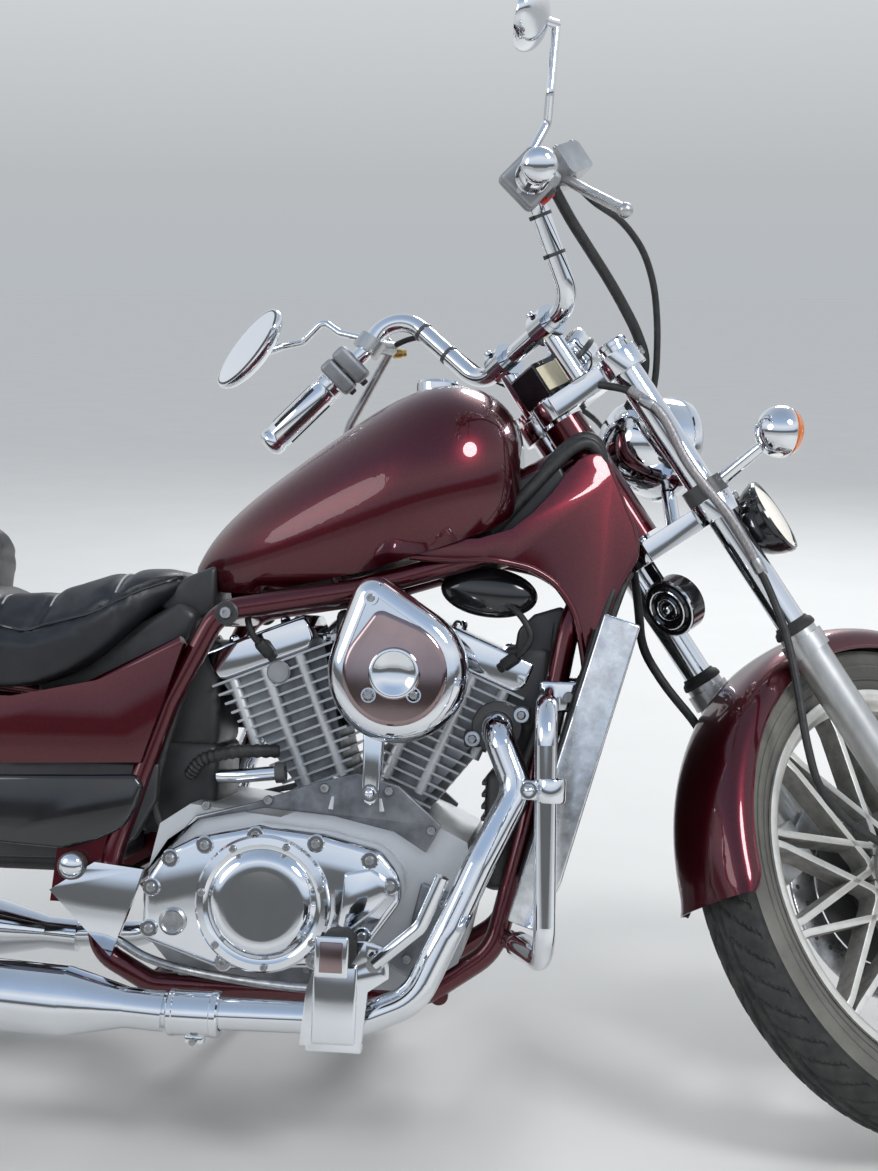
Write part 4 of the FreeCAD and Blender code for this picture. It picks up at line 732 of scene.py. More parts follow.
def carve(pad, depth_at):
    """Presses a pad's cover in by a depth that a function gives for each place and normal."""
    inverse = BODY.inverted()
    turn = BODY.to_3x3().normalized().inverted()
    pad.data.update()
    moves = []
    for vert in pad.data.vertices:
        moves.append(vert.normal * -depth_at(inverse @ vert.co, turn @ vert.normal) * MM)
    for vert, move in zip(pad.data.vertices, moves):
        vert.co += move


def covered_pad(name, node, depth_at):
    """A filled pad with its seams pressed in and its leather on."""
    pad = filled_pad(name, node)
    carve(pad, depth_at)
    pad.data.materials.clear()
    pad.data.materials.append(FINISHES["leather"])
    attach(pad, "body")
    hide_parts(node)
    return pad


def surface_line(tree, starts, way):
    """Where rays from the starts, in the machine's frame, first meet a surface."""
    turn = BODY.to_3x3().normalized()
    line = []
    for start in starts:
        hit, normal, _, _ = tree.ray_cast(BODY @ Vector(start), turn @ Vector(way))
        if hit is not None:
            line.append(BODY.inverted() @ (hit + normal * 0.0002))
    return line


# Seams across the seats, how far the rider's lean back, and the height of the pillion seat's side seam
RIDER_SEAMS, RIDER_LEAN = [372, 436, 520], 0.25
PILLION_SEAMS, PILLION_EDGE = [40, 120, 200], 708
# How the pads' cloth fills: how far it is drawn in first, in metres, its pressure and its steps
PAD_SHRINK, PAD_PRESSURE, CLOTH_STEPS = 0.003, 4, 20


def seat_edge(x):
    """Height of the rider seat's side seam."""
    rows = [(330, 622), (420, 606), (500, 630), (560, 664), (604, 684)]
    for (x_low, z_low), (x_high, z_high) in zip(rows, rows[1:]):
        if x <= x_high:
            return z_low + (z_high - z_low) * (x - x_low) / (x_high - x_low)
    return rows[-1][1]


class CRUISER_OT_seats(bpy.types.Operator):
    """Makes the padded rider and pillion seats"""
    bl_idname = "cruiser.seats"
    bl_label = "Seats"

    def execute(self, context):
        def rider_depth(place, normal):
            edge = seat_edge(place.x)
            depth = 3.5 * math.exp(-((place.z - edge) / 6) ** 2) * (abs(normal.y) > 0.3)
            if place.z > edge:
                for seam in RIDER_SEAMS:
                    depth += 7 * math.exp(-(abs(place.x - seam - (place.z - 640) * RIDER_LEAN) / 9) ** 2)
            return depth

        def pillion_depth(place, normal):
            depth = 3 * math.exp(-((place.z - PILLION_EDGE) / 6) ** 2)
            if place.z > PILLION_EDGE + 7:
                for seam in PILLION_SEAMS:
                    depth += 6 * math.exp(-(abs(place.x - seam) / 9) ** 2)
            return depth

        rider = covered_pad("rider_pad", "rider_seat", rider_depth)
        pillion = covered_pad("pillion_pad", "pillion_seat", pillion_depth)
        trim = Piece("piping", "gloss_black")
        for pad, seams, top_z, wide, shift, out, edge in (
                (rider, RIDER_SEAMS, 800, 100, RIDER_LEAN * 30, 260,
                 [(x, seat_edge(x)) for x in range(334, 606, 9)]),
                (pillion, PILLION_SEAMS, 900, 80, 0, 240,
                 [(x, PILLION_EDGE) for x in range(-50, 320, 10)])):
            tree = BVHTree.FromPolygons([vert.co for vert in pad.data.vertices],
                                        [face.vertices[:] for face in pad.data.polygons])
            runs = [([(seam + shift, y, top_z) for y in range(-wide, wide + 1, 8)], (0, 0, -1), 1.6, 0)
                    for seam in seams]
            runs += [([(x, side * out, z) for x, z in edge], (0, -side, 0), 2.2, 1) for side in (-1, 1)]
            for starts, way, radius, index in runs:
                line = surface_line(tree, starts, way)
                if len(line) > 3:
                    trim.add(bar(line, radius, 8), index)
        trim.done("seat_piping", BODY, "body", "leather")
        return {"FINISHED"}


# Wheels

# Rim radius and width of each wheel, and half of a spoke's depth
FRONT_RIM, REAR_RIM, SPOKE_HALF = (252, 74), (202, 104), 15.5


def tyre_profile(radius, width, rim, rim_width, count=46):
    """(radius, across) pairs from bead to bead over the crown."""
    half = width / 2
    wall = rim + (radius - rim) * 0.34
    rows = [(rim - 2, -rim_width / 2 + 6), (rim + 6, -rim_width / 2 + 1.5), (rim + 9, -rim_width / 2 - 1),
            (rim + 13, -rim_width / 2 - 1.5), (wall, -half), (radius - width * 0.28, -half * 0.94)]
    crown = []
    for step in range(count):
        angle = -1.13 + 2.26 * step / (count - 1)
        crown.append((radius - half * 0.92 * (1 - math.cos(angle)), half * 0.98 * math.sin(angle)))
    side = [(row[0], -row[1]) for row in reversed(rows)]
    return rows + crown + side


def tyre_piece(name, hub, radius, width, rim, rim_width, body, node):
    """A tyre with slanted grooves in its crown, raised ribs and dusty sidewalls."""
    steps = 432
    deep = sizes().tread
    profile = tyre_profile(radius, width, rim, rim_width)
    mesh = bmesh.new()
    rings = []
    half = width / 2
    for step in range(steps):
        angle = math.tau * step / steps
        ring = []
        for out, across in profile:
            size = out
            share = across / half
            if abs(share) < 0.84 and out > radius - width * 0.3:
                phase = (angle / math.tau * 54 + abs(share) * 2.1 + (0.5 if share > 0 else 0)) % 1.0
                slant = abs(phase - 0.5) * 2 < 0.2 and 0.16 < abs(share) < 0.8
                ring_groove = abs(abs(share) - 0.12 - 0.02 * math.sin(angle * 27)) < 0.045
                if slant or ring_groove:
                    size -= deep
            ring.append(mesh.verts.new((size * math.cos(angle), size * math.sin(angle), across)))
        rings.append(ring)
    crown_from = radius - width * 0.30
    for step in range(steps):
        here, there = rings[step], rings[(step + 1) % steps]
        for number in range(len(profile) - 1):
            face = mesh.faces.new((here[number], there[number], there[number + 1], here[number + 1]))
            low = min(profile[number][0], profile[number + 1][0])
            face.material_index = 0 if low > crown_from else 1
    bmesh.ops.recalc_face_normals(mesh, faces=mesh.faces)
    tyre = Piece("tyre", "sidewall").add(mesh, None)
    for side in (-1, 1):
        for out, across, thick in ((rim + (radius - rim) * 0.40, half - 0.4, 1.2),
                                   (rim + 14, rim_width / 2 + 3.5, 1.5)):
            ring = [Vector((out * math.cos(math.tau * step / 144), out * math.sin(math.tau * step / 144),
                            side * across)) for step in range(145)]
            tyre.add(bar(ring, thick, 6), 1)
    return tyre.done(name, hub, body, "tyre", (node,))


def wheel_piece(name, hub_frame, rim, rim_width, hub, bore, body, node):
    """A cast wheel: bright rim, hub and twelve forked spokes with machined faces."""
    wheel = Piece("spoke", "spoke_side", "chrome", "black")
    half = rim_width / 2
    ring = [(rim, -half), (rim, -half + 4), (rim - 3, -half + 6), (rim - 9, -half + 9), (rim - 9, half - 9),
            (rim - 3, half - 6), (rim, half - 4), (rim, half), (rim - 4, half + 0.5), (rim - 10, half - 1),
            (rim - 15, half - 5), (rim - 17, half - 12), (rim - 23, half - 20), (rim - 23, -half + 20),
            (rim - 17, -half + 12), (rim - 15, -half + 5), (rim - 10, -half + 1), (rim - 4, -half - 0.5)]
    wheel.add(turned(ring, 144))
    core = [(bore, -42), (hub - 8, -42), (hub, -38), (hub, -26), (hub + 14, -20), (hub + 14, 20),
            (hub, 26), (hub, 38), (hub - 8, 42), (bore, 42)]
    wheel.add(turned(core, 64), 1)
    for side in (-1, 1):
        cap = [(bore, 0), (hub - 16, 0), (hub - 12, 3), (hub - 18, 5), (bore, 5)]
        wheel.add(turned(cap, 48), 2, Matrix.Translation((0, 0, 40 if side > 0 else -45)))
    for number in range(12):
        angle = math.tau / 12 * number
        for side in (-1, 1):
            outline = [(rim - 16, side * 1.5), (rim - 20, side * 13), (rim - 42, side * 12.5),
                       (hub + 22, side * 33), (hub - 2, side * 46), (hub - 8, side * 33),
                       (hub + 16, side * 24), (rim - 44, side * 3)]
            spoke = prism([(x, y, -SPOKE_HALF) for x, y in outline], [(x, y, SPOKE_HALF) for x, y in outline],
                          1.6, 2)
            spoke.transform(Matrix.Rotation(angle, 4, "Z"))
            spoke.normal_update()
            for face in spoke.faces:
                face.material_index = 0 if abs(face.normal.z) > 0.6 else 1
            wheel.add(spoke, None)
    valve = bar([(rim - 22, 0, 6), (rim - 40, 0, 8), (rim - 56, 0, 14)], 3, 10, [4, 3.2, 2.6])
    wheel.add(valve, 3, Matrix.Rotation(0.26, 4, "Z"))
    return wheel.done(name, hub_frame, body, "satin_aluminium", (node,))


def drilled_disc():
    """The front brake's disc with its holes and nuts."""
    disc = Piece("steel", "black", "chrome")
    disc.add(turned([(100, 56), (138, 56), (140, 57), (140, 60), (138, 61), (100, 61), (98, 60),
                     (98, 57)], 96))
    for number in range(36):
        angle = math.tau / 36 * number
        out = (108, 119, 130)[number % 3]
        pit = turned([(0, 55.6), (3.2, 55.6), (3.6, 56.2), (3.6, 60.8), (3.2, 61.4), (0, 61.4)], 12)
        disc.add(pit, 1, Matrix.Translation((out * math.cos(angle), out * math.sin(angle), 0)))
    disc.add(turned([(40, 52.5), (97, 52.5), (97, 55.8), (40, 55.8)], 64), 1)
    disc.add(turned([(11, 42.4), (40, 42.4), (40, 56), (11, 56)], 48), 1)
    for number in range(6):
        angle = math.tau / 6 * number
        disc.acorn((70 * math.cos(angle), 70 * math.sin(angle), 56), (0, 0, 1), 5, 2)
    disc.done("drilled_disc", FRONT_HUB, "front_wheel", "steel", ("brake_disc",))


class CRUISER_OT_wheels(bpy.types.Operator):
    """Makes the tyres, the cast wheels and the brake disc"""
    bl_idname = "cruiser.wheels"
    bl_label = "Wheels"

    def execute(self, context):
        tyre_piece("front_tread", FRONT_HUB, FRONT_RADIUS, 100, *FRONT_RIM, "front_wheel", "front_tyre")
        tyre_piece("rear_tread", REAR_HUB, REAR_RADIUS, 140, *REAR_RIM, "rear_wheel", "rear_tyre")
        wheel_piece("front_cast_wheel", FRONT_HUB, *FRONT_RIM, 48, 10.3, "front_wheel", "front_wheel")
        wheel_piece("rear_cast_wheel", REAR_HUB, *REAR_RIM, 60, 9.3, "rear_wheel", "rear_wheel")
        drilled_disc()
        return {"FINISHED"}


# Engine

def rounded_teardrop(circles, steps=20):
    """Side-view outline round two circles."""
    (x1, z1, r1), (x2, z2, r2) = circles
    way = math.atan2(z2 - z1, x2 - x1)
    gap = math.hypot(x2 - x1, z2 - z1)
    spread = math.acos((r1 - r2) / gap)
    outline = []
    for step in range(steps + 1):
        angle = way - spread + 2 * spread * step / steps
        outline.append((x2 + r2 * math.cos(angle), z2 + r2 * math.sin(angle)))
    for step in range(2 * steps + 1):
        angle = way + spread + (math.tau - 2 * spread) * step / (2 * steps)
        outline.append((x1 + r1 * math.cos(angle), z1 + r1 * math.sin(angle)))
    return outline


def shell_of(outline, rows):
    """A dish over an outline: rows of (inset, y)."""
    body = bmesh.new()
    cx = sum(x for x, _ in outline) / len(outline)
    cz = sum(z for _, z in outline) / len(outline)
    rings = []
    count = len(outline)
    for inset, y in rows:
        ring = []
        for number, (x, z) in enumerate(outline):
            bx, bz = outline[number - 1]
            ax, az = outline[(number + 1) % count]
            nx, nz = az - bz, bx - ax
            size = math.hypot(nx, nz) or 1
            if nx * (x - cx) + nz * (z - cz) < 0:
                nx, nz = -nx, -nz
            ring.append(body.verts.new((x - nx / size * inset, y, z - nz / size * inset)))
        rings.append(ring)
    skin(body, rings)
    body.faces.new(rings[0])
    body.faces.new(list(reversed(rings[-1])))
    bmesh.ops.recalc_face_normals(body, faces=body.faces)
    return body


# The clutch cover's outline and the middle of its dome, x and z
COVER = [(600, 238), (603, 310), (624, 344), (662, 364), (739, 381), (820, 374), (890, 358),
         (915, 330), (917, 298), (882, 248), (820, 214), (700, 206)]
CLUTCH_X, CLUTCH_Z = 750, 289
# The crankcase's top edge, x and z
RIDGE = [(604, 330), (650, 384), (724, 404), (800, 432), (852, 446), (904, 432), (958, 386), (940, 352),
         (900, 376), (824, 392), (738, 398), (656, 380), (618, 352)]


def air_cleaner_shells():
    """The teardrop covers on both sides of the cylinders."""
    cleaner = Piece("chrome", "black", "steel", "smoked")
    outline = rounded_teardrop([(902, 573, 85), (872, 660, 28)])
    rows = [(10, -148), (2, -150), (0, -156), (0, -180), (2, -190), (7, -199), (14, -204.5), (22, -206),
            (22.5, -203)]
    cleaner.add(shell_of(outline, rows))
    inner = rounded_teardrop([(902, 573, 63), (884, 634, 13)])
    cleaner.add(shell_of(inner, [(0, -204), (0, -207), (2.5, -209.2), (6, -210)]), 3)
    cleaner.disc(902, -209.8, 573, [(0, -1), (31.5, -1), (31, 3), (29.5, 6), (27.5, 6.8),
                                    (25, 6.2), (18, 2.8), (9, 0.9), (0, 0.5)])
    for x, z, deep in ((926, 548, -209.8), (872, 546, -209.8), (870, 662, -206)):
        cleaner.disc(x, deep, z, [(0, -1), (9, -1), (9, 1), (7.4, 1), (7.4, 0.2), (0, 0.2)], 24)
        cleaner.screw((x, deep - 0.4, z), (0, -1, 0), 5, 2)
    cleaner.add(plate([(859, 512), (885, 512), (881, 424), (877, 412), (870, 408), (863, 412),
                       (860, 424)], -126.3, -149, 2))
    cleaner.acorn((870, -149, 424), (0, -1, 0), 8)
    cleaner.add(bar([(890, -78.3, 590), (890, -150, 590)], 30, 32), 1)
    cleaner.done("air_cleaner_shell", BODY, "body", "chrome", ("air_cleaner",))
    left = Piece("chrome", "black", "steel")
    outline = rounded_teardrop([(824, 573, 80), (856, 652, 28)])
    left.add(shell_of(outline, [(inset, -y * 0.97) for inset, y in rows]))
    part = turned([(0, -1), (54, -1), (54, 1), (52, 3.4), (0, 3.6)], 64)
    left.add(part, 0, aimed((824, 199.6, 573), (0, 1, 0)))
    for x, z in ((848, 548), (800, 548)):
        left.screw((x, 203, z), (0, 1, 0), 5, 2)
    left.add(bar([(836, 78.3, 590), (836, 146, 590)], 30, 32), 1)
    left.done("intake_shell", BODY, "body", "chrome", ("intake_cover",))


def clutch_cover_shell():
    """The clutch's cover with its dome, its rim and its screws."""
    cover = Piece("chrome", "casting", "steel", "black")
    cover.add(plate(COVER, -126.3, -186, 9, 4))
    cover.disc(CLUTCH_X, -186, CLUTCH_Z,
               [(0, -2), (83, -2), (83, 4), (80, 8), (72, 9), (68, 6.5), (66, 6.5),
                (62, 10), (58, 14), (50, 15.5), (40, 15.2), (0, 14.4)], 96)
    for number in range(7):
        angle = 0.3 + math.tau / 7 * number
        cover.screw((CLUTCH_X + 75 * math.cos(angle), -195, CLUTCH_Z + 75 * math.sin(angle)),
                    (0, -1, 0), 4.6, 2)
    for x, z in ((611, 252), (612, 302), (634, 338), (676, 356), (738, 370), (812, 364), (878, 347),
                 (904, 318), (872, 256), (815, 224), (704, 216)):
        cover.disc(x, -184, z, [(0, -2), (11, -2), (11, 3), (9.5, 4.5), (0, 4.5)], 24)
        cover.screw((x, -188.4, z), (0, -1, 0), 5.4, 2)
    kidney = [(848, 330), (880, 338), (900, 326), (902, 304), (886, 286), (856, 262), (842, 268),
              (846, 296)]
    cover.add(plate(kidney, -184, -192, 3.5, 3))
    cover.disc(640, -186, 262, [(0, -2), (17, -2), (17, 2), (14, 4), (12, 2.5), (0, 2.5)], 32, index=2)
    cover.done("clutch_cover_shell", BODY, "body", "chrome", ("clutch_cover",))


def engine_fasteners():
    """The crankcase's edges, and the cylinders' studs, nuts and screws."""
    details = Piece("chrome", "casting", "steel", "black")
    details.add(plate(RIDGE, -124, -134, 3.5), 1)
    details.add(plate([(936, 316), (984, 300), (972, 226), (928, 196), (896, 214), (924, 262)],
                      -124, -136, 4), 1)
    details.add(plate(RIDGE, 124, 134, 3.5), 1)
    for x, z, y in ((664, 398, -134), (742, 408, -134), (812, 426, -134), (892, 426, -134),
                    (946, 380, -134), (964, 292, -136), (958, 232, -136), (922, 222, -136)):
        details.screw((x, y, z), (0, -1, 0), 6, 2)
    for number in range(5):
        x = 700 + number * 46
        details.add(brick((x, -128, 196 - (number % 2) * 3), (x + 8, -122, 232), 2), 1)
    crank = Vector((852, 0, 268))
    for sign in (-1, 1):
        lean = math.radians(22.5) * sign
        turn = Matrix.Translation(crank) @ Matrix.Rotation(lean, 4, "Y")
        for across in ((-52, -8, 40) if sign < 0 else (-40, 8, 52)):
            low = 166 if abs(across) < 50 else 235
            for side in (-1, 1):
                start = turn @ Vector((across, side * 71, low))
                end = turn @ Vector((across, side * 71, 329))
                details.add(bar([start, end], 7.5, 16), 1)
        for across in (-38, 34):
            for side in (-1, 1):
                top = turn @ Vector((across, side * 46, 375))
                details.acorn(top, turn.to_3x3() @ Vector((0, 0, 1)), 7)
        details.disc(*(turn @ Vector((-8 * sign, -78, 318))),
                     [(0, -3), (15, -3), (15, 1), (13, 3), (0, 3.4)], 32, 1)
    for x_low, z_low, x_high, z_high in ((820, 400, 826, 440), (884, 400, 878, 440)):
        details.add(bar([(x_low, -129, z_low), (x_high, -127, z_high)], 6, 12), 1)
    details.done("engine_fasteners", BODY, "body", "cast_aluminium")


class CRUISER_OT_engine(bpy.types.Operator):
    """Makes the engine's covers, nuts and screws"""
    bl_idname = "cruiser.engine"
    bl_label = "Engine"

    def execute(self, context):
        air_cleaner_shells()
        clutch_cover_shell()
        engine_fasteners()
        return {"FINISHED"}


# Lamps

# Level and straight ahead, in the fork's frame
LEVEL_AHEAD = (0.8241262, 0, -0.5664062)


def headlight():
    """The headlight's bowl and its fluted glass."""
    bowl = Piece("chrome", "mirror", "black")
    outer = [(0, -90), (14, -89.4), (28, -86), (40, -79), (50, -68), (58, -52), (64, -34), (68, -14),
             (69.5, -2), (72, -1), (72, 9), (70.5, 13), (67, 15.6), (63, 16), (62, 12), (60, 2),
             (50, -22), (30, -44), (10, -50), (0, -50)]
    bowl.add(turned(outer, 96))
    bowl.add(bar([(0, 0, -60), (0, 0, -18)], 8, 20), 1)
    bowl.done("headlight_bowl", FORK @ aimed((135, 0, 1003), LEVEL_AHEAD), "steering", "chrome",
              ("headlight",))
    lens = Piece("glass")
    face = [(0, 15.5), (62.5, 15.5), (62.5, 17.5), (56, 24), (42, 30), (22, 33.6), (0, 34.6)]
    lens.add(turned(face, 96))
    for number in range(-7, 8):
        across = number * 7.5
        long = math.sqrt(max(55 ** 2 - across ** 2, 4))
        height = 16 + 18 * (1 - (across / 62) ** 2)
        rib = bar([(across, -long, 18), (across, -long * 0.5, height * 0.9), (across, 0, height),
                   (across, long * 0.5, height * 0.9), (across, long, 18)], 0.8, 6)
        lens.add(rib)
    lens.done("headlight_glass", FORK @ aimed((135, 0, 1003), LEVEL_AHEAD), "steering", "clear_lens",
              ("headlight_lens",))


def extra_lamp():
    """The extra lamp and its glass, which glows as a painted glare of the sun."""
    lamp = Piece("gloss_black", "mirror", "chrome", "black")
    back = Vector((95, -70, 846))
    way = Vector((0.5, -0.86, 0)).normalized()
    body = [(0, -2), (12, -1.5), (24, 2), (34, 9), (43, 20), (49, 33), (51, 40), (52, 42), (52, 47),
            (50, 49.5), (47, 49), (46, 46), (40, 28), (22, 14), (0, 12)]
    lamp.add(turned(body, 72), 0, aimed(back, way))
    lamp.add(bar([(92, -66, 850), (80, -64, 868), (66, -62, 879)], 7, 14), 3)
    lamp.add(turned([(0, 12.4), (22, 14.6), (39.5, 28.2), (45.5, 45.6), (45, 46), (38, 29.5), (20, 16),
                     (0, 14)], 64), 1, aimed(back, way))
    lamp.done("extra_lamp_shell", FORK, "steering", "black_paint", ("auxiliary_lamp",))
    # The glass glows: painted glare, standing in for the sun's reflection on the lamp
    lens = Piece("lit")
    lens.add(turned([(0, 45), (46.6, 45), (46.6, 47), (34, 51), (0, 53)], 72), 0, aimed(back, way))
    lens.done("extra_lamp_glass", FORK, "steering", "clear_lens")


def signals():
    """The front and rear signals."""
    ball = [(33 * math.cos(turn), 33 * math.sin(turn)) for turn in
            [math.radians(angle) for angle in range(-80, 13, 8)]]
    lens_face = [(0, 6.2), (29, 6.2), (30.2, 10), (26, 18), (18, 23), (8, 25.6), (0, 26)]
    shell = [(0, -33)] + ball + [(31.5, 7), (29, 6), (0, 6)]
    for side in (-1, 1):
        signal = Piece("chrome", "amber", "black")
        place = aimed((109, side * 200, 930), (0.82, side * 0.25, -0.52))
        signal.add(turned(shell, 64), 0, place)
        signal.add(turned(lens_face, 64), 1, place)
        signal.add(bar([(66, side * 108, 920), (74, side * 124, 922), (104, side * 182, 929)], 8, 18,
                       [9.5, 8.2, 7.4]))
        ring = turned([(19.9, 0), (28, 0), (28, 22), (19.9, 22)], 48)
        signal.add(ring, 2, Matrix.Translation((52, side * 93, 908.4)))
        signal.screw((76, side * 108, 919), (0.7, side * 0.7, 0), 5)
        signal.done("front_signal_%s" % ("left" if side > 0 else "right"), FORK, "steering", "chrome",
                    ("front_signals",))
        rear = Piece("chrome", "amber")
        place = aimed((-246, side * 200, 562), (-1, side * 0.2, 0))
        rear.add(turned(shell, 48), 0, place)
        rear.add(turned(lens_face, 48), 1, place)
        rear.add(bar([(-246, side * 136, 562), (-246, side * 172, 562)], 7, 16))
        rear.done("rear_signal_%s" % ("left" if side > 0 else "right"), BODY, "body", "amber_lens",
                  ("rear_signals",))


class CRUISER_OT_lamps(bpy.types.Operator):
    """Makes the headlight, the extra lamp and the signals"""
    bl_idname = "cruiser.lamps"
    bl_label = "Lamps"

    def execute(self, context):
        headlight()
        extra_lamp()
        signals()
        return {"FINISHED"}


# Controls

class CRUISER_OT_controls(bpy.types.Operator):
    """Makes the grips and the switch boxes"""
    bl_idname = "cruiser.controls"
    bl_label = "Controls"

    def execute(self, context):
        end = Vector((-168, 336, 1308))
        way = (Vector((-8, 168, 1352)) - end).normalized()
        for side in (1, -1):
            label = "left" if side > 0 else "right"
            flip = Vector((1, side, 1))
            tip, along = end * flip, way * flip
            grip = Piece("chrome", "rubber")
            shape = [(0, -7), (8, -6.6), (14, -5), (18, -1.5), (20, 2), (20, 9), (18.6, 11), (18.6, 16),
                     (19.6, 18), (19.6, 104), (18.6, 106), (18.6, 111), (20.5, 113), (20.5, 121.5),
                     (13.2, 121.8), (0, 121.8)]
            grip.add(turned(shape, 64), 0, aimed(tip, along))
            for number in range(6):
                angle = math.tau / 6 * number
                strip = brick((-2.6, 18.9, 24), (2.6, 20.4, 98), 0.7, 2)
                grip.add(strip, 1, aimed(tip, along) @ Matrix.Rotation(angle, 4, "Z"))
            grip.done("chrome_grip_%s" % label, FORK, "steering", "chrome", ("hand_grips",))
            box = Piece("casting", "black", "red", "chrome")
            place = aimed(tip, along, math.radians(12) * side)
            box.add(brick((-27, -26, 124), (27, 28, 146), 6, 3), 0, place)
            box.add(brick((-28, -27, 147), (28, 29, 171), 7, 3), 0, place)
            box.add(brick((-10, -33, 150), (10, -24, 160), 2, 2), 1 if side > 0 else 2, place)
            box.add(brick((-12, -31, 130), (2, -24, 140), 2, 2), 1, place)
            box.add(bar([(20, 0, 122.5), (20, 0, 172)], 4, 12), 0, place)
            box.done("switch_box_%s" % label, FORK, "steering", "cast_aluminium", ("switch_housings",))
        return {"FINISHED"}


# Smaller pieces on the body and the fork

def horn_rings():
    """The horn with its rings."""
    horn = Piece("gloss_black", "chrome")
    horn.add(turned([(0, 2), (10, 2), (12, 3.5), (16, 3.5), (18, 1.5), (22, 1.5), (24, 3.5), (29, 3.5),
                     (31, 1), (35, 1), (38, -2), (38, -26), (34, -30), (0, -30)], 64), 0,
             aimed((-24, 0, 817), (-1, 0, 0)))
    horn.add(turned([(0, 2), (5, 2), (5, 5), (3, 6.5), (0, 6.5)], 24), 1,
             aimed((-24, 0, 817), (-1, 0, 0)))
    for inner, outer in ((13.4, 15.6), (24.4, 27.6), (34.2, 38.3)):
        middle, rise = (inner + outer) / 2, 5.2 if outer < 34 else 1.4
        horn.add(turned([(inner, rise - 3), (inner + 0.4, rise - 0.8), (middle, rise),
                         (outer - 0.4, rise - 0.8), (outer, rise - 3)], 64), 1,
                 aimed((-24, 0, 817), (-1, 0, 0)))
    horn.add(brick((-14, -8, 850), (-8, 8, 879.6), 1, 2))
    horn.done("horn_rings", FORK, "steering", "black_paint", ("horn",))


def fork_seals():
    """The fork's dust seals, caps and clamp screws."""
    seals = Piece("rubber", "black", "chrome", "steel")
    for side in (-1, 1):
        spot = Matrix.Translation((52, side * 93, 706))
        seals.add(turned([(19.8, 0.4), (26.5, 0.4), (27.5, 3), (26, 9), (22.5, 12), (21.5, 15),
                          (19.8, 15.5)], 48), 0, spot)
        for along in (1102, 880):
            cap = turned([(0, 0), (22, 0), (22, 5), (20, 7.5), (0, 8.4)], 48)
            if along > 1000:
                seals.add(cap, 2, Matrix.Translation((52, side * 93, along + 36.2)))
            seals.screw((70, side * 114, along + 14), (0.5, side * 0.86, 0), 6, 3)
    seals.done("fork_seals", FORK, "steering", "rubber")


class CRUISER_OT_fittings(bpy.types.Operator):
    """Makes the horn and the fork's seals and caps"""
    bl_idname = "cruiser.fittings"
    bl_label = "Fittings"

    def execute(self, context):
        horn_rings()
        fork_seals()
        return {"FINISHED"}


def softened(name, node, width, finish_name, body):
    """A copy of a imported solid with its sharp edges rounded."""
    work = bmesh.new()
    work.from_mesh(NODES[node].data)
    work.transform(NODES[node].matrix_world)
    work.normal_update()
    bmesh.ops.remove_doubles(work, verts=work.verts, dist=0.00002)
    bmesh.ops.dissolve_limit(work, angle_limit=0.035, verts=work.verts, edges=work.edges)
    sharp = [edge for edge in work.edges if len(edge.link_faces) == 2 and edge.calc_face_angle() > 0.6]
    bmesh.ops.bevel(work, geom=sharp, offset=width * MM, segments=3, profile=0.5, affect="EDGES",
                    clamp_overlap=True)
    for edge in work.edges:
        edge.smooth = not (len(edge.link_faces) == 2 and edge.calc_face_angle() > 0.62)
    for face in work.faces:
        face.smooth = True
        face.material_index = 0
    mesh = bpy.data.meshes.new(name)
    work.to_mesh(mesh)
    work.free()
    mesh.materials.append(FINISHES[finish_name])
    return hand_over(mesh, name, body, (node,))


def wavy(points, low, high, steps=10):
    """A corrugated hose's line and radii."""
    line = line_points(points, steps)
    return line, [high if number % 2 else low for number in range(len(line))]


# The neck cover's edges, x and z: from under the tank down to its tip, and up along the steering head
NECK_INNER = [(905, 738), (905, 716), (960, 714), (1001, 716), (1032, 712), (1057, 706), (1082, 692),
              (1097, 676), (1108, 659), (1115, 641), (1121, 616), (1125, 596), (1128, 576)]
NECK_FRONT = [(1136, 572), (1141, 600), (1146, 620), (1152, 643), (1159, 666), (1167, 689), (1177, 709),
              (1185, 724), (1187, 743), (1181, 766), (1171, 788), (1163, 808), (1155, 826), (1147, 844),
              (1136, 857), (1122, 855), (1109, 847), (1094, 828), (1078, 804), (1054, 777), (1030, 756),
              (990, 742)]


def neck_y(x, z):
    """How far out the neck cover stands: over the frame's tubes, and closing in towards the head."""
    over = max(0, min(1, (x - 930) / 70))
    return 136 + 20 * over - (x - 837) * 0.26 - (z - 690) * 0.12


def battery_cover():
    """The black cover under the seat, and the bolts of the frame's mount."""
    battery = Piece("gloss_black", "black", "steel")
    battery.add(brick((408, -112, 366), (516, 112, 436), 3), 1)
    for side in (-1, 1):
        battery.add(plate([(392, 425), (518, 430), (574, 433), (585, 420), (578, 393), (562, 366),
                           (530, 349), (487, 336), (392, 340)], *sorted((side * 132, side * 146)), 6))
        battery.add(plate([(384, 446), (600, 446), (598, 400), (572, 350), (520, 324), (384, 320)],
                          *sorted((side * 108, side * 128)), 4), 1)
        battery.add(turned([(0, -4), (15, -4), (15, 1), (13, 2.5), (0, 2.5)], 32), 1,
                    aimed((678, side * 126, 638), (0, side, 0)))
        battery.screw((678, side * 128, 638), (0, side, 0), 8, 2)
    battery.done("battery_cover", BODY, "body", "black_paint", ("battery_box",))


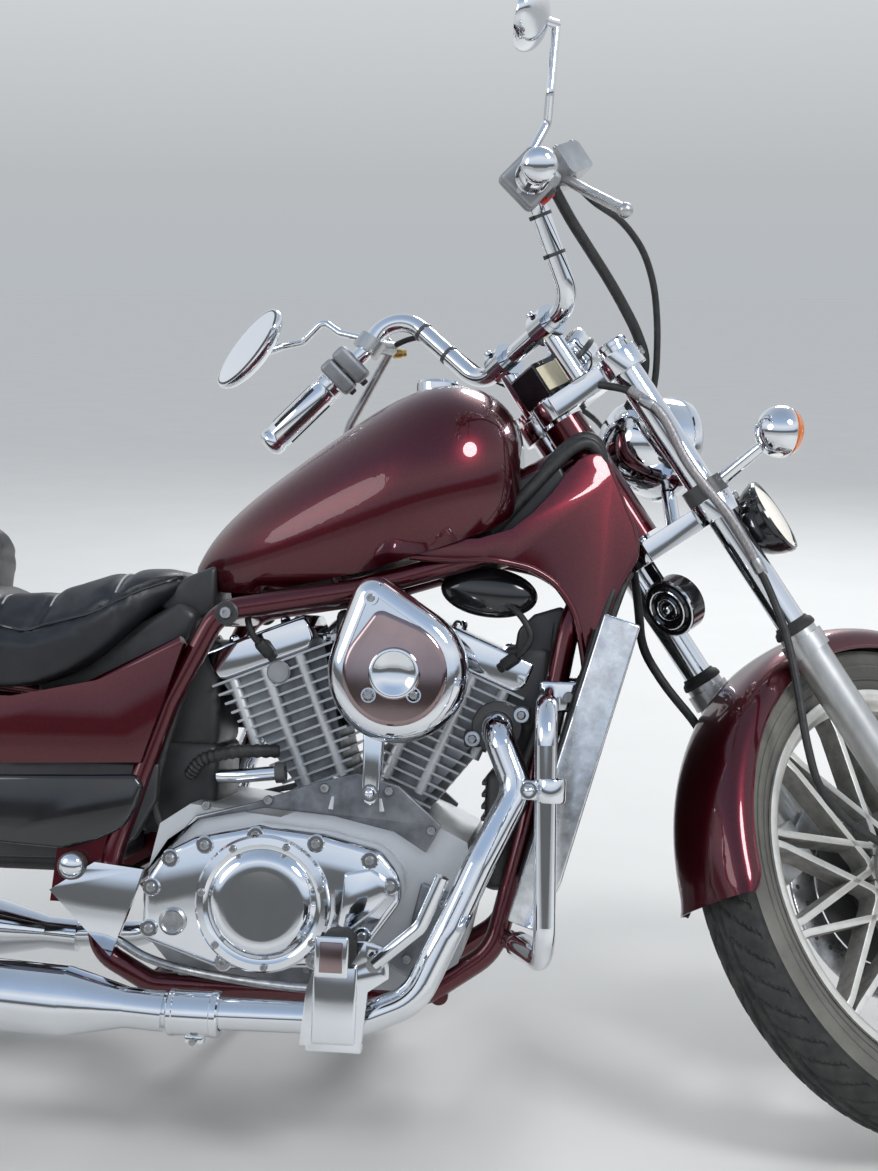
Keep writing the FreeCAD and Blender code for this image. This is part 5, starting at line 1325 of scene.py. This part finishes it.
def neck_cover():
    """The painted sheets between the tank and the steering head."""
    cover = Piece("paint")
    for side in (-1, 1):
        sheet = plate(NECK_INNER + NECK_FRONT, -1.6, 1.6, 1.2, 2)
        for vert in sheet.verts:
            vert.co.y = side * (neck_y(vert.co.x, vert.co.z) + vert.co.y)
        bmesh.ops.recalc_face_normals(sheet, faces=sheet.faces)
        cover.add(sheet)
        for edge, radius in ((NECK_INNER[1:], 4.6), (NECK_FRONT[:14], 3)):
            line = [(x, side * (neck_y(x, z) - 1), z) for x, z in edge]
            cover.add(bar(line_points(line, 4), radius, 12))
    cover.done("neck_cover_panels", BODY, "body", "maroon_paint", ("neck_covers",))


class CRUISER_OT_panels(bpy.types.Operator):
    """Rounds the flat covers, and makes the battery's and the neck's"""
    bl_idname = "cruiser.panels"
    bl_label = "Panels"

    def execute(self, context):
        for name, node, width, finish_name, slot in (
                ("fork_yokes", "fork_clamps", 2.5, "chrome", "chrome"),
                ("rocker_tops", "rocker_covers", 5, "chrome", "chrome"),
                ("side_cover_panels", "side_covers", 5, "paint", "maroon_paint"),
                ("footrest_plates", "footrest_brackets", 1.6, "chrome", "chrome"),
                ("radiator_trims", "radiator_covers", 3, "dusty_chrome", "chrome")):
            body = "steering" if node == "fork_clamps" else "body"
            softened(name, node, width, finish_name, body)
        battery_cover()
        neck_cover()
        return {"FINISHED"}


def fender_piece(name, node, hub, outer, half, skirt, body):
    """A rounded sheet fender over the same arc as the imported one, with a bead round its edge."""
    inverse = hub.inverted()
    angles = sorted(math.atan2(spot.y, spot.x) for spot in
                    (inverse @ (NODES[node].matrix_world @ vert.co) for vert in NODES[node].data.vertices))
    gaps = [(after - before, before, after)
            for before, after in zip(angles, angles[1:] + [angles[0] + math.tau])]
    _, end, start = max(gaps)
    sweep = (end - start) % math.tau
    steps, count, power, sheet = 110, 34, 2.5, 2.6
    corner = math.radians(5)
    work = bmesh.new()
    rings, edge_line = [], {-1: [], 1: []}
    for step in range(steps + 1):
        angle = start + sweep * step / steps
        near = min(step, steps - step) / steps * sweep
        lift = 16 * max(0, 1 - near / corner) ** 2
        row = []
        for shrink in (0, sheet):
            line = []
            for number in range(count + 1):
                turn = math.pi * number / count
                across = (half - shrink) * math.copysign(abs(math.cos(turn)) ** (2 / power), math.cos(turn))
                base = skirt + 3 + lift
                out = base + (outer - shrink - base) * math.sin(turn) ** (2 / power)
                if number in (0, count):
                    out = skirt + lift
                line.append(Vector((out * math.cos(angle), out * math.sin(angle), across)))
            row += line if shrink == 0 else list(reversed(line))
        for side, spot in ((1, row[0]), (-1, row[count])):
            edge_line[side].append(Vector((spot.x, spot.y, spot.z - side * sheet / 2)))
        rings.append([work.verts.new(spot) for spot in row])
    size = len(rings[0])
    skin(work, rings)
    for ring in (rings[0], rings[-1]):
        for number in range(count):
            work.faces.new((ring[number], ring[number + 1], ring[size - 2 - number], ring[size - 1 - number]))
    bmesh.ops.recalc_face_normals(work, faces=work.faces)
    fender = Piece("paint")
    fender.add(work)
    for side in (-1, 1):
        fender.add(bar(edge_line[side], 2.4, 10))
    return fender.done(name, hub, body, "maroon_paint", (node,))


class CRUISER_OT_fenders(bpy.types.Operator):
    """Makes the rounded fenders"""
    bl_idname = "cruiser.fenders"
    bl_label = "Fenders"

    def execute(self, context):
        fender_piece("front_fender_sheet", "front_fender", FRONT_HUB, 344, 64, 304, "steering")
        fender_piece("rear_fender_sheet", "rear_fender", REAR_HUB, 360, 92, 321, "body")
        return {"FINISHED"}


def under_tank_parts():
    """The dark blocks, leads, looms and hoses between the frame's tubes."""
    fill = Piece("gloss_black", "hose", "casting", "black")
    oval = bmesh.new()
    bmesh.ops.create_uvsphere(oval, u_segments=40, v_segments=24, radius=1)
    bmesh.ops.scale(oval, vec=(62, 22, 32), verts=oval.verts)
    fill.add(oval, 0, Matrix.Translation((1002, -62, 676)) @ Matrix.Rotation(0.1, 4, "Y"))
    for x_low, x_high, wide, z_low, z_high, edge, index in (
            (806, 900, 62, 560, 648, 10, 3), (818, 888, 48, 500, 562, 14, 2),
            (700, 800, 46, 652, 700, 10, 3), (930, 1010, 40, 690, 740, 10, 3),
            (560, 662, 72, 352, 470, 12, 3), (566, 660, 68, 464, 602, 12, 3),
            (1006, 1052, 78, 300, 452, 14, 3), (1022, 1088, 70, 452, 610, 14, 3)):
        fill.add(brick((x_low, -wide, z_low), (x_high, wide, z_high), edge), index)
    for points in ([(1018, -66, 664), (1042, -86, 650), (1058, -92, 622), (1046, -88, 600),
                    (1030, -80, 588)],
                   [(722, -50, 660), (700, -92, 640), (706, -96, 612), (722, -82, 592)]):
        fill.add(bar(line_points(points), 4.2, 12), 1)
        tip, before = Vector(points[-1]), Vector(points[-2])
        fill.add(turned([(0, -16), (7, -16), (8.5, -12), (8.5, 6), (6.5, 8), (6.5, 14), (0, 14)], 24), 1,
                 aimed(tip, tip - before))
    for number in range(9):
        z = 312 + number * 15
        fill.add(brick((1002, -74, z), (1008, 74, z + 6), 1.5, 2), 3)
    for outline, wide, edge in (
            ([(648, 700), (606, 682), (570, 650), (600, 616), (648, 640)], 62, 8),
            ([(1036, 596), (1106, 596), (1112, 636), (1096, 662), (1060, 650), (1040, 630)], 64, 6),
            ([(606, 652), (556, 622), (500, 582), (424, 552), (424, 520), (560, 540), (622, 600),
              (632, 636)], 84, 12),
            ([(980, 720), (1040, 748), (1070, 782), (1096, 822), (1084, 846), (1050, 830),
              (980, 790)], 60, 5)):
        fill.add(plate(outline, -wide, wide, edge), 3)
    for low, high in ((-66, 0), (-48, 9)):
        loom = [(1002, low, 752), (1048, low, 806), (1080, low + 6, 842 + high),
                (1103, low + 10, 864 + high), (1122, low + 16, 870 + high),
                (1136, low + 20, 856 + high), (1142, low + 22, 826)]
        fill.add(bar(line_points(loom), 8.5, 16), 1)
    for shift in (0, 11):
        fill.add(bar(line_points([(1180 - shift, -46, 706), (1170 - shift, -70, 684),
                                  (1156 - shift, -82, 640), (1140 - shift, -94, 586),
                                  (1114 - shift, -98, 540), (1098 - shift, -98, 480),
                                  (1062 - shift, -100, 420), (1036 - shift, -96, 372)]), 4.5, 12), 1)
    for points in ([(1090, -60, 640), (1084, -78, 560), (1058, -98, 470), (1036, -98, 400),
                    (1010, -90, 350)],
                   [(640, -104, 600), (622, -106, 540), (604, -112, 470), (592, -114, 400),
                    (610, -112, 350)]):
        fill.add(bar(line_points(points), 6, 12), 1)
    fill.done("under_tank_parts", BODY, "body", "black_paint")


def engine_side_parts():
    """The brackets, clamps, nuts and pipes round the engine."""
    metal = Piece("chrome", "black", "steel", "hose")
    ring = [(19.6, 0), (30, 0), (32, 3), (32, 12), (30, 15), (19.6, 15)]
    for x, side in ((1020, -1), (684, 1)):
        metal.add(turned(ring, 48), 1, aimed((x, side * 84, 508), (0, side, 0)))
        for dx, dz in ((30, 16), (-30, -16)):
            metal.add(bar([(x + dx, side * 80, 508 + dz), (x + dx, side * 112, 508 + dz)], 4, 12), 2)
            metal.acorn((x + dx, side * 100, 508 + dz), (0, side, 0), 7)
            metal.add(flank(side, (x + dx - 11, 88, 508 + dz - 11), (x + dx + 11, 98, 508 + dz + 11), 4),
                      1)
    for side in (-1, 1):
        metal.add(flank(side, (1072, 86, 530), (1120, 112, 568), 4))
        metal.screw((1083, side * 112, 549), (0, side, 0), 7, 2)
        metal.screw((1108, side * 112, 549), (0, side, 0), 7, 2)
        clamp = turned([(12.7, -13), (16.4, -13), (17.4, -11), (17.4, 11), (16.4, 13), (12.7, 13)], 40)
        metal.add(clamp, 0, Matrix.Translation((1094, side * 306, 452)))
        metal.add(flank(side, (1062, 296, 441), (1080, 316, 463), 3))
        metal.acorn((1070, side * 316, 452), (0, side, 0), 7)
        metal.add(turned([(12.7, -8), (17, -8), (17, 8), (12.7, 8)], 40), 0,
                  aimed((1062, side * 150, 247), (0.4, side * 0.9, 0)))
    metal.add(bar([(672, -100, 432), (700, -112, 434), (756, -112, 441)], 9, 20, [9, 9, 9]))
    metal.add(turned([(9, -6), (13, -6), (13, 6), (9, 6)], 24), 1, aimed((752, -112, 440.5), (1, 0, 0.1)))
    line, radii = wavy([(632, -96, 430), (652, -108, 452), (694, -112, 464), (746, -96, 466)], 7.5, 9.2)
    metal.add(bar(line, 8, 16, radii), 3)
    metal.disc(500, -150, 317, [(0, -2), (17, -2), (17, 1), (14, 6), (8, 9), (0, 10)], 40)
    metal.add(bar(line_points([(560, -138, 226), (600, -146, 208), (657, -152, 196), (760, -192, 194),
                               (838, -214, 198), (872, -238, 220)]), 5.5, 14), 2)
    sleeve = [(19.2, 0), (26, 0), (27.5, 1.5), (27.5, 7), (26.4, 8), (26.4, 52), (27.5, 53), (27.5, 60),
              (26, 62), (19.2, 62)]
    metal.add(turned(sleeve, 72), 0, aimed((648, -216, 160), (1, 0, 0)))
    metal.add(brick((668, -224, 124), (692, -208, 136), 3))
    metal.add(bar([(680, -232, 129), (680, -200, 129)], 4.5, 6), 2)
    metal.disc(1150, -30, 800, [(0, -3), (13, -3), (13, 6), (11, 8), (0, 8)], 32, 1)
    metal.disc(1150, -30, 800, [(0, 7), (8.5, 7), (8.5, 9.5), (0, 9.8)], 24, 2)
    metal.done("engine_side_parts", BODY, "body", "chrome")


def radiator_fins():
    """The radiator's core with its frame and fins."""
    core = Piece("core", "black")
    core.add(plate([(1136, 634), (1180, 624), (1096, 328), (1056, 328)], -138, 138, 0))
    for y_low, y_high in ((-150, -137), (137, 150)):
        core.add(plate([(1140, 640), (1186, 630), (1098, 322), (1054, 322)], y_low, y_high, 3), 1)
    for number in range(31):
        y = -132 + number * 8.8
        core.add(plate([(1184, 626), (1186, 625.6), (1098.6, 325), (1096.6, 325)], y - 1, y + 1))
        core.add(plate([(1135, 634), (1137, 634), (1055.5, 328), (1053.5, 328)], y - 1, y + 1))
    for number in range(56):
        share = (number + 0.5) / 56
        x, z = 1184.5 - 87 * share, 625.8 - 300 * share
        core.add(brick((x - 2, -136, z - 0.5), (x + 0.6, 136, z + 0.5)))
        x, z = 1136 - 82 * share, 634 - 306 * share
        core.add(brick((x - 0.6, -136, z - 0.5), (x + 2, 136, z + 0.5)))
    core.done("radiator_fins", BODY, "body", "black_paint", ("radiator",))


class CRUISER_OT_engine_side(bpy.types.Operator):
    """Makes the parts under the tank, round the engine and in the radiator"""
    bl_idname = "cruiser.engine_side"
    bl_label = "Engine side"

    def execute(self, context):
        under_tank_parts()
        engine_side_parts()
        radiator_fins()
        return {"FINISHED"}


def coil_springs():
    """The shock absorbers with their springs."""
    springs = Piece("chrome", "black")
    low, high = Vector((40, 144, 330)), Vector((130, 144, 573))
    for side in (-1, 1):
        flip = Vector((1, side, 1))
        start, end = low * flip, high * flip
        way = (end - start).normalized()
        place = aimed(start, way)
        long = (end - start).length
        for at in (0, long):
            eye = turned([(0, -13), (14, -13), (17, -10), (17, 10), (14, 13), (0, 13)], 32)
            springs.add(eye, 0, aimed(start + way * at, (0, 1, 0)))
        springs.add(turned([(0, 12), (15, 12), (15, 60), (8, 61), (8, long - 60), (15, long - 60),
                            (15, long - 12), (0, long - 12)], 40), 0, place)
        springs.add(turned([(15.2, long - 66), (24, long - 66), (24, long - 20), (20, long - 14),
                            (15.2, long - 14)], 48), 0, place)
        springs.add(turned([(15.2, 34), (24, 34), (24, 42), (15.2, 46)], 48), 1, place)
        turns = sizes().coil
        coil = []
        for step in range(turns * 20 + 1):
            angle = math.tau * step / 20
            coil.append((19.8 * math.cos(angle), 19.8 * math.sin(angle),
                         45 + (long - 66 - 45) * step / (turns * 20)))
        springs.add(bar(coil, 3.9, 10), 0, place)
    springs.done("coil_springs", BODY, "body", "chrome", ("shock_absorbers",))


def footrest_rubbers():
    """The footrests' rubbers and end plates."""
    pegs = Piece("rubber", "chrome", "smoked")
    for side in (-1, 1):
        pegs.add(flank(side, (840, 256.3, 237), (876, 333, 281), 12, 4))
        for number in range(6):
            out = 264 + number * 11
            pegs.add(flank(side, (838.6, out, 246), (877.4, out + 4, 272), 1.5, 2))
        pegs.add(flank(side, (839, 331, 236), (877, 336.5, 282), 10, 4), 1)
        pegs.add(flank(side, (845, 336, 242), (871, 338.2, 276), 7, 4), 2)
        pegs.add(flank(side, (826, 254, 143), (878, 262, 236), 5, 4), 1)
    pegs.done("footrest_rubbers", BODY, "body", "rubber", ("footrests",))


def tail_lamp():
    """The tail lamp's lens and rim."""
    tail = Piece("red", "chrome", "white", "black")
    tail.add(brick((-375, -44, 502), (-262, 44, 564), 12, 4))
    for number in range(9):
        z = 508 + number * 6.2
        tail.add(bar([(-375.4, -34, z), (-375.4, 34, z)], 0.9, 8))
    tail.add(brick((-268, -47, 499), (-248, 47, 567), 8, 4), 1)
    tail.done("tail_lamp_lens", BODY, "body", "red_lens", ("tail_lamp",))


def blank_plate():
    """The number plate, left blank."""
    sign = Piece("white", "black", "chrome")
    sign.add(brick((-419.8, -90, 300), (-417, 90, 440), 1, 2))
    sign.add(brick((-417.2, -88, 302), (-416, 88, 438), 0.4, 2), 1)
    sign.add(brick((-417, -20, 360), (-300, 20, 380), 3, 2), 1)
    for y in (-60, 60):
        sign.acorn((-419.8, y, 424), (-1, 0, 0), 5, 2)
    sign.done("blank_plate", BODY, "body", "white_plate", ("number_plate",))


class CRUISER_OT_rear_end(bpy.types.Operator):
    """Makes the springs, the footrests' rubbers and the parts at the tail"""
    bl_idname = "cruiser.rear_end"
    bl_label = "Rear end"

    def execute(self, context):
        coil_springs()
        footrest_rubbers()
        tail_lamp()
        blank_plate()
        return {"FINISHED"}


def speedometer():
    """The speedometer's case, dial and hand."""
    tilt = Matrix.Translation((78, 0, 1173)) @ Matrix.Rotation(math.radians(-20), 4, "Y")
    gauge = Piece("chrome", "dial", "white", "red", "black")
    gauge.add(turned([(0, -34), (26, -34), (34, -28), (38, -16), (38, 4), (39, 6), (39, 14), (37, 18),
                      (34.5, 18), (33.5, 15), (0, 15)], 96), 0, tilt)
    gauge.add(turned([(38.1, -10), (38.6, -9), (38.6, -3), (38.1, -2)], 96), 4, tilt)
    gauge.add(turned([(0, 14.5), (33.4, 14.5), (33.4, 15.4), (0, 15.4)], 72), 1, tilt)
    for number in range(37):
        angle = math.radians(-130 + 260 * number / 36)
        long = 5 if number % 4 == 0 else 2.6
        mark = brick((29.5 - long, -0.35, 15.3), (29.5, 0.35, 15.8))
        gauge.add(mark, 2, tilt @ Matrix.Rotation(angle, 4, "Z"))
    for number in range(10):
        angle = math.radians(-130 + 260 * number / 9)
        curve = bpy.data.curves.new("number", "FONT")
        curve.body, curve.size, curve.extrude = str(number * 20), 5.2, 0.15
        curve.align_x, curve.align_y = "CENTER", "CENTER"
        holder = bpy.data.objects.new("number", curve)
        mesh = bpy.data.meshes.new_from_object(holder)
        part = bmesh.new()
        part.from_mesh(mesh)
        bpy.data.objects.remove(holder)
        bpy.data.meshes.remove(mesh)
        spot = Matrix.Translation((20.5 * math.cos(angle), 20.5 * math.sin(angle), 15.6))
        gauge.add(part, 2, tilt @ spot @ Matrix.Rotation(math.radians(-90), 4, "Z"))
    hand = plate([(0, -1), (23, -0.25), (23, 0.25), (0, 1)], -0.3, 0.3)
    gauge.add(hand, 3, tilt @ Matrix.Rotation(math.radians(-130), 4, "Z")
              @ Matrix.Translation((0, 0, 16.4)) @ Matrix.Rotation(math.radians(90), 4, "X"))
    gauge.add(turned([(0, 15), (4, 15), (4, 17), (3, 18), (0, 18)], 24), 4, tilt)
    gauge.done("speedometer_dial", FORK, "steering", "chrome", ("speedometer",))


def mirror_faces():
    """The mirrors' glass."""
    glass = Piece("mirror", "black")
    for centre, facing, long_way in (((-134, 304, 1438), (-0.66, -0.24, 0.71), (-0.62, 0.72, -0.2)),
                                     ((27, -287, 1510), (-0.44, 0.49, 0.75), (0.82, 0.56, 0.12))):
        facing = Vector(facing).normalized()
        across = facing.cross(Vector(long_way)).normalized()
        along = across.cross(facing)
        turn = Matrix((along, across, -facing)).transposed().to_4x4()
        if turn.determinant() < 0:
            turn = Matrix((across, along, -facing)).transposed().to_4x4()
        for inset, back, thick, index in ((2.5, -3.6, 1.0, 1), (5, -4.2, 1.2, 0)):
            disc = turned([(0, 0), (1, 0), (1, thick), (0, thick)], 72)
            long_first = (turn.to_3x3() @ Vector((1, 0, 0)) - along).length < 0.1
            wide = (67 - inset, 40.4 - inset) if long_first else (40.4 - inset, 67 - inset)
            bmesh.ops.scale(disc, vec=(wide[0], wide[1], 1), verts=disc.verts)
            glass.add(disc, index, Matrix.Translation(Vector(centre)) @ turn
                      @ Matrix.Translation((0, 0, back - thick)))
    glass.done("mirror_faces", FORK, "steering", "chrome")


def bar_fasteners():
    """The screws, clips, caps and sleeve on the bar and the fork."""
    small = Piece("chrome", "black", "steel", "cream", "brass", "hose", "braid")
    small.add(turned([(0, 0), (24, 0), (24, 2), (0, 2)], 48), 0, Matrix.Translation((0, 0, 1130.2)))
    small.add(turned([(0, 2), (17, 2), (17, 12), (0, 12)], 6), 0, Matrix.Translation((0, 0, 1130)))
    for side in (-1, 1):
        for ahead in (2, 34):
            small.screw((ahead, side * 50, 1231), (0, 0, 1), 5)
        small.add(brick((-6, side * 50 - 14.4, 1210), (42, side * 50 + 14.4, 1212), 0.5), 1)
        small.acorn((65.5, side * 117, 356.6), (0, side, 0), 11)
        for along in (1108, 1124):
            small.screw((76, side * 93, along), (1, 0, 0), 5, 2)
        small.add(flank(side, (-15, 24, 1137), (29, 25.4, 1171), 1), 3)
        top = Vector((14, side * 162, 1372))
        low_bar = Vector((18, side * 108, 1211))
        for share in (0.32, 0.62):
            spot = top.lerp(low_bar, share)
            small.add(turned([(12.9, -2.2), (14.4, -2.2), (14.4, 2.2), (12.9, 2.2)], 32), 1,
                      aimed(spot, low_bar - top))
            small.add(brick((12, -2.6, -2.6), (19, 2.6, 2.6), 0.6), 1, aimed(spot, low_bar - top))
        small.screw(Vector((6, side * 205, 1343)), (0, 0, 1), 5.5, 2)
    small.add(turned([(0, 0), (7, 0), (7, 9), (5.4, 10), (5.4, 17), (0, 17)], 20), 4,
              aimed((8, 210, 1326), (0.6, -0.2, -0.3)))
    for x, y in ((-2, -236), (28, -236), (-2, -200), (28, -200)):
        small.screw((x, y, 1362), (0, 0, 1), 3.4, 2)
    small.add(bar(line_points([(22, -106, 1078), (28, -122, 1030), (23, -119, 955), (28, -124, 870),
                               (30, -117, 790)], 14), 6.6, 16), 6)
    for place, way in (((25.6, -115, 1052), (0.2, -0.5, -1)), ((29.6, -118, 804), (0, 0.1, -1))):
        small.add(turned([(6.4, -9), (7.4, -9), (7.9, -7), (7.9, 7), (7.4, 9), (6.4, 9)], 24), 2,
                  aimed(place, way))
    small.done("bar_fasteners", FORK, "steering", "chrome")


class CRUISER_OT_cockpit(bpy.types.Operator):
    """Makes the speedometer, the mirrors' glass and the small parts on the bar"""
    bl_idname = "cruiser.cockpit"
    bl_label = "Cockpit"

    def execute(self, context):
        speedometer()
        mirror_faces()
        bar_fasteners()
        return {"FINISHED"}


class CRUISER_PT_panel(bpy.types.Panel):
    """Lists the machine's settings and pieces"""
    bl_label = "Cruiser motorcycle"
    bl_idname = "CRUISER_PT_panel"
    bl_space_type = "VIEW_3D"
    bl_region_type = "UI"
    bl_category = "Cruiser"

    def draw(self, context):
        layout = self.layout
        for group in (context.scene.cruiser_colours, context.scene.cruiser_sizes):
            for name in group.__annotations__:
                layout.prop(group, name)
        for operator in OPERATORS:
            layout.operator(operator.bl_idname)


OPERATORS = [CRUISER_OT_stage, CRUISER_OT_finishes, CRUISER_OT_seats, CRUISER_OT_wheels,
             CRUISER_OT_engine, CRUISER_OT_lamps, CRUISER_OT_controls, CRUISER_OT_fittings,
             CRUISER_OT_panels, CRUISER_OT_fenders, CRUISER_OT_engine_side, CRUISER_OT_rear_end,
             CRUISER_OT_cockpit]
GROUPS = [MachineColours, MachineSizes]


def register():
    """Registers the add-on's classes and its settings."""
    for item in GROUPS + OPERATORS + [CRUISER_PT_panel]:
        bpy.utils.register_class(item)
    bpy.types.Scene.cruiser_colours = bpy.props.PointerProperty(type=MachineColours)
    bpy.types.Scene.cruiser_sizes = bpy.props.PointerProperty(type=MachineSizes)


def unregister():
    """Takes the add-on's classes and settings away."""
    del bpy.types.Scene.cruiser_sizes
    del bpy.types.Scene.cruiser_colours
    for item in reversed(GROUPS + OPERATORS + [CRUISER_PT_panel]):
        bpy.utils.unregister_class(item)


def main():
    register()
    for step in (bpy.ops.cruiser.stage, bpy.ops.cruiser.finishes, bpy.ops.cruiser.seats,
                 bpy.ops.cruiser.wheels, bpy.ops.cruiser.engine, bpy.ops.cruiser.lamps,
                 bpy.ops.cruiser.controls, bpy.ops.cruiser.fittings, bpy.ops.cruiser.panels,
                 bpy.ops.cruiser.fenders, bpy.ops.cruiser.engine_side, bpy.ops.cruiser.rear_end,
                 bpy.ops.cruiser.cockpit):
        step()


if __name__ == "__main__":
    main()
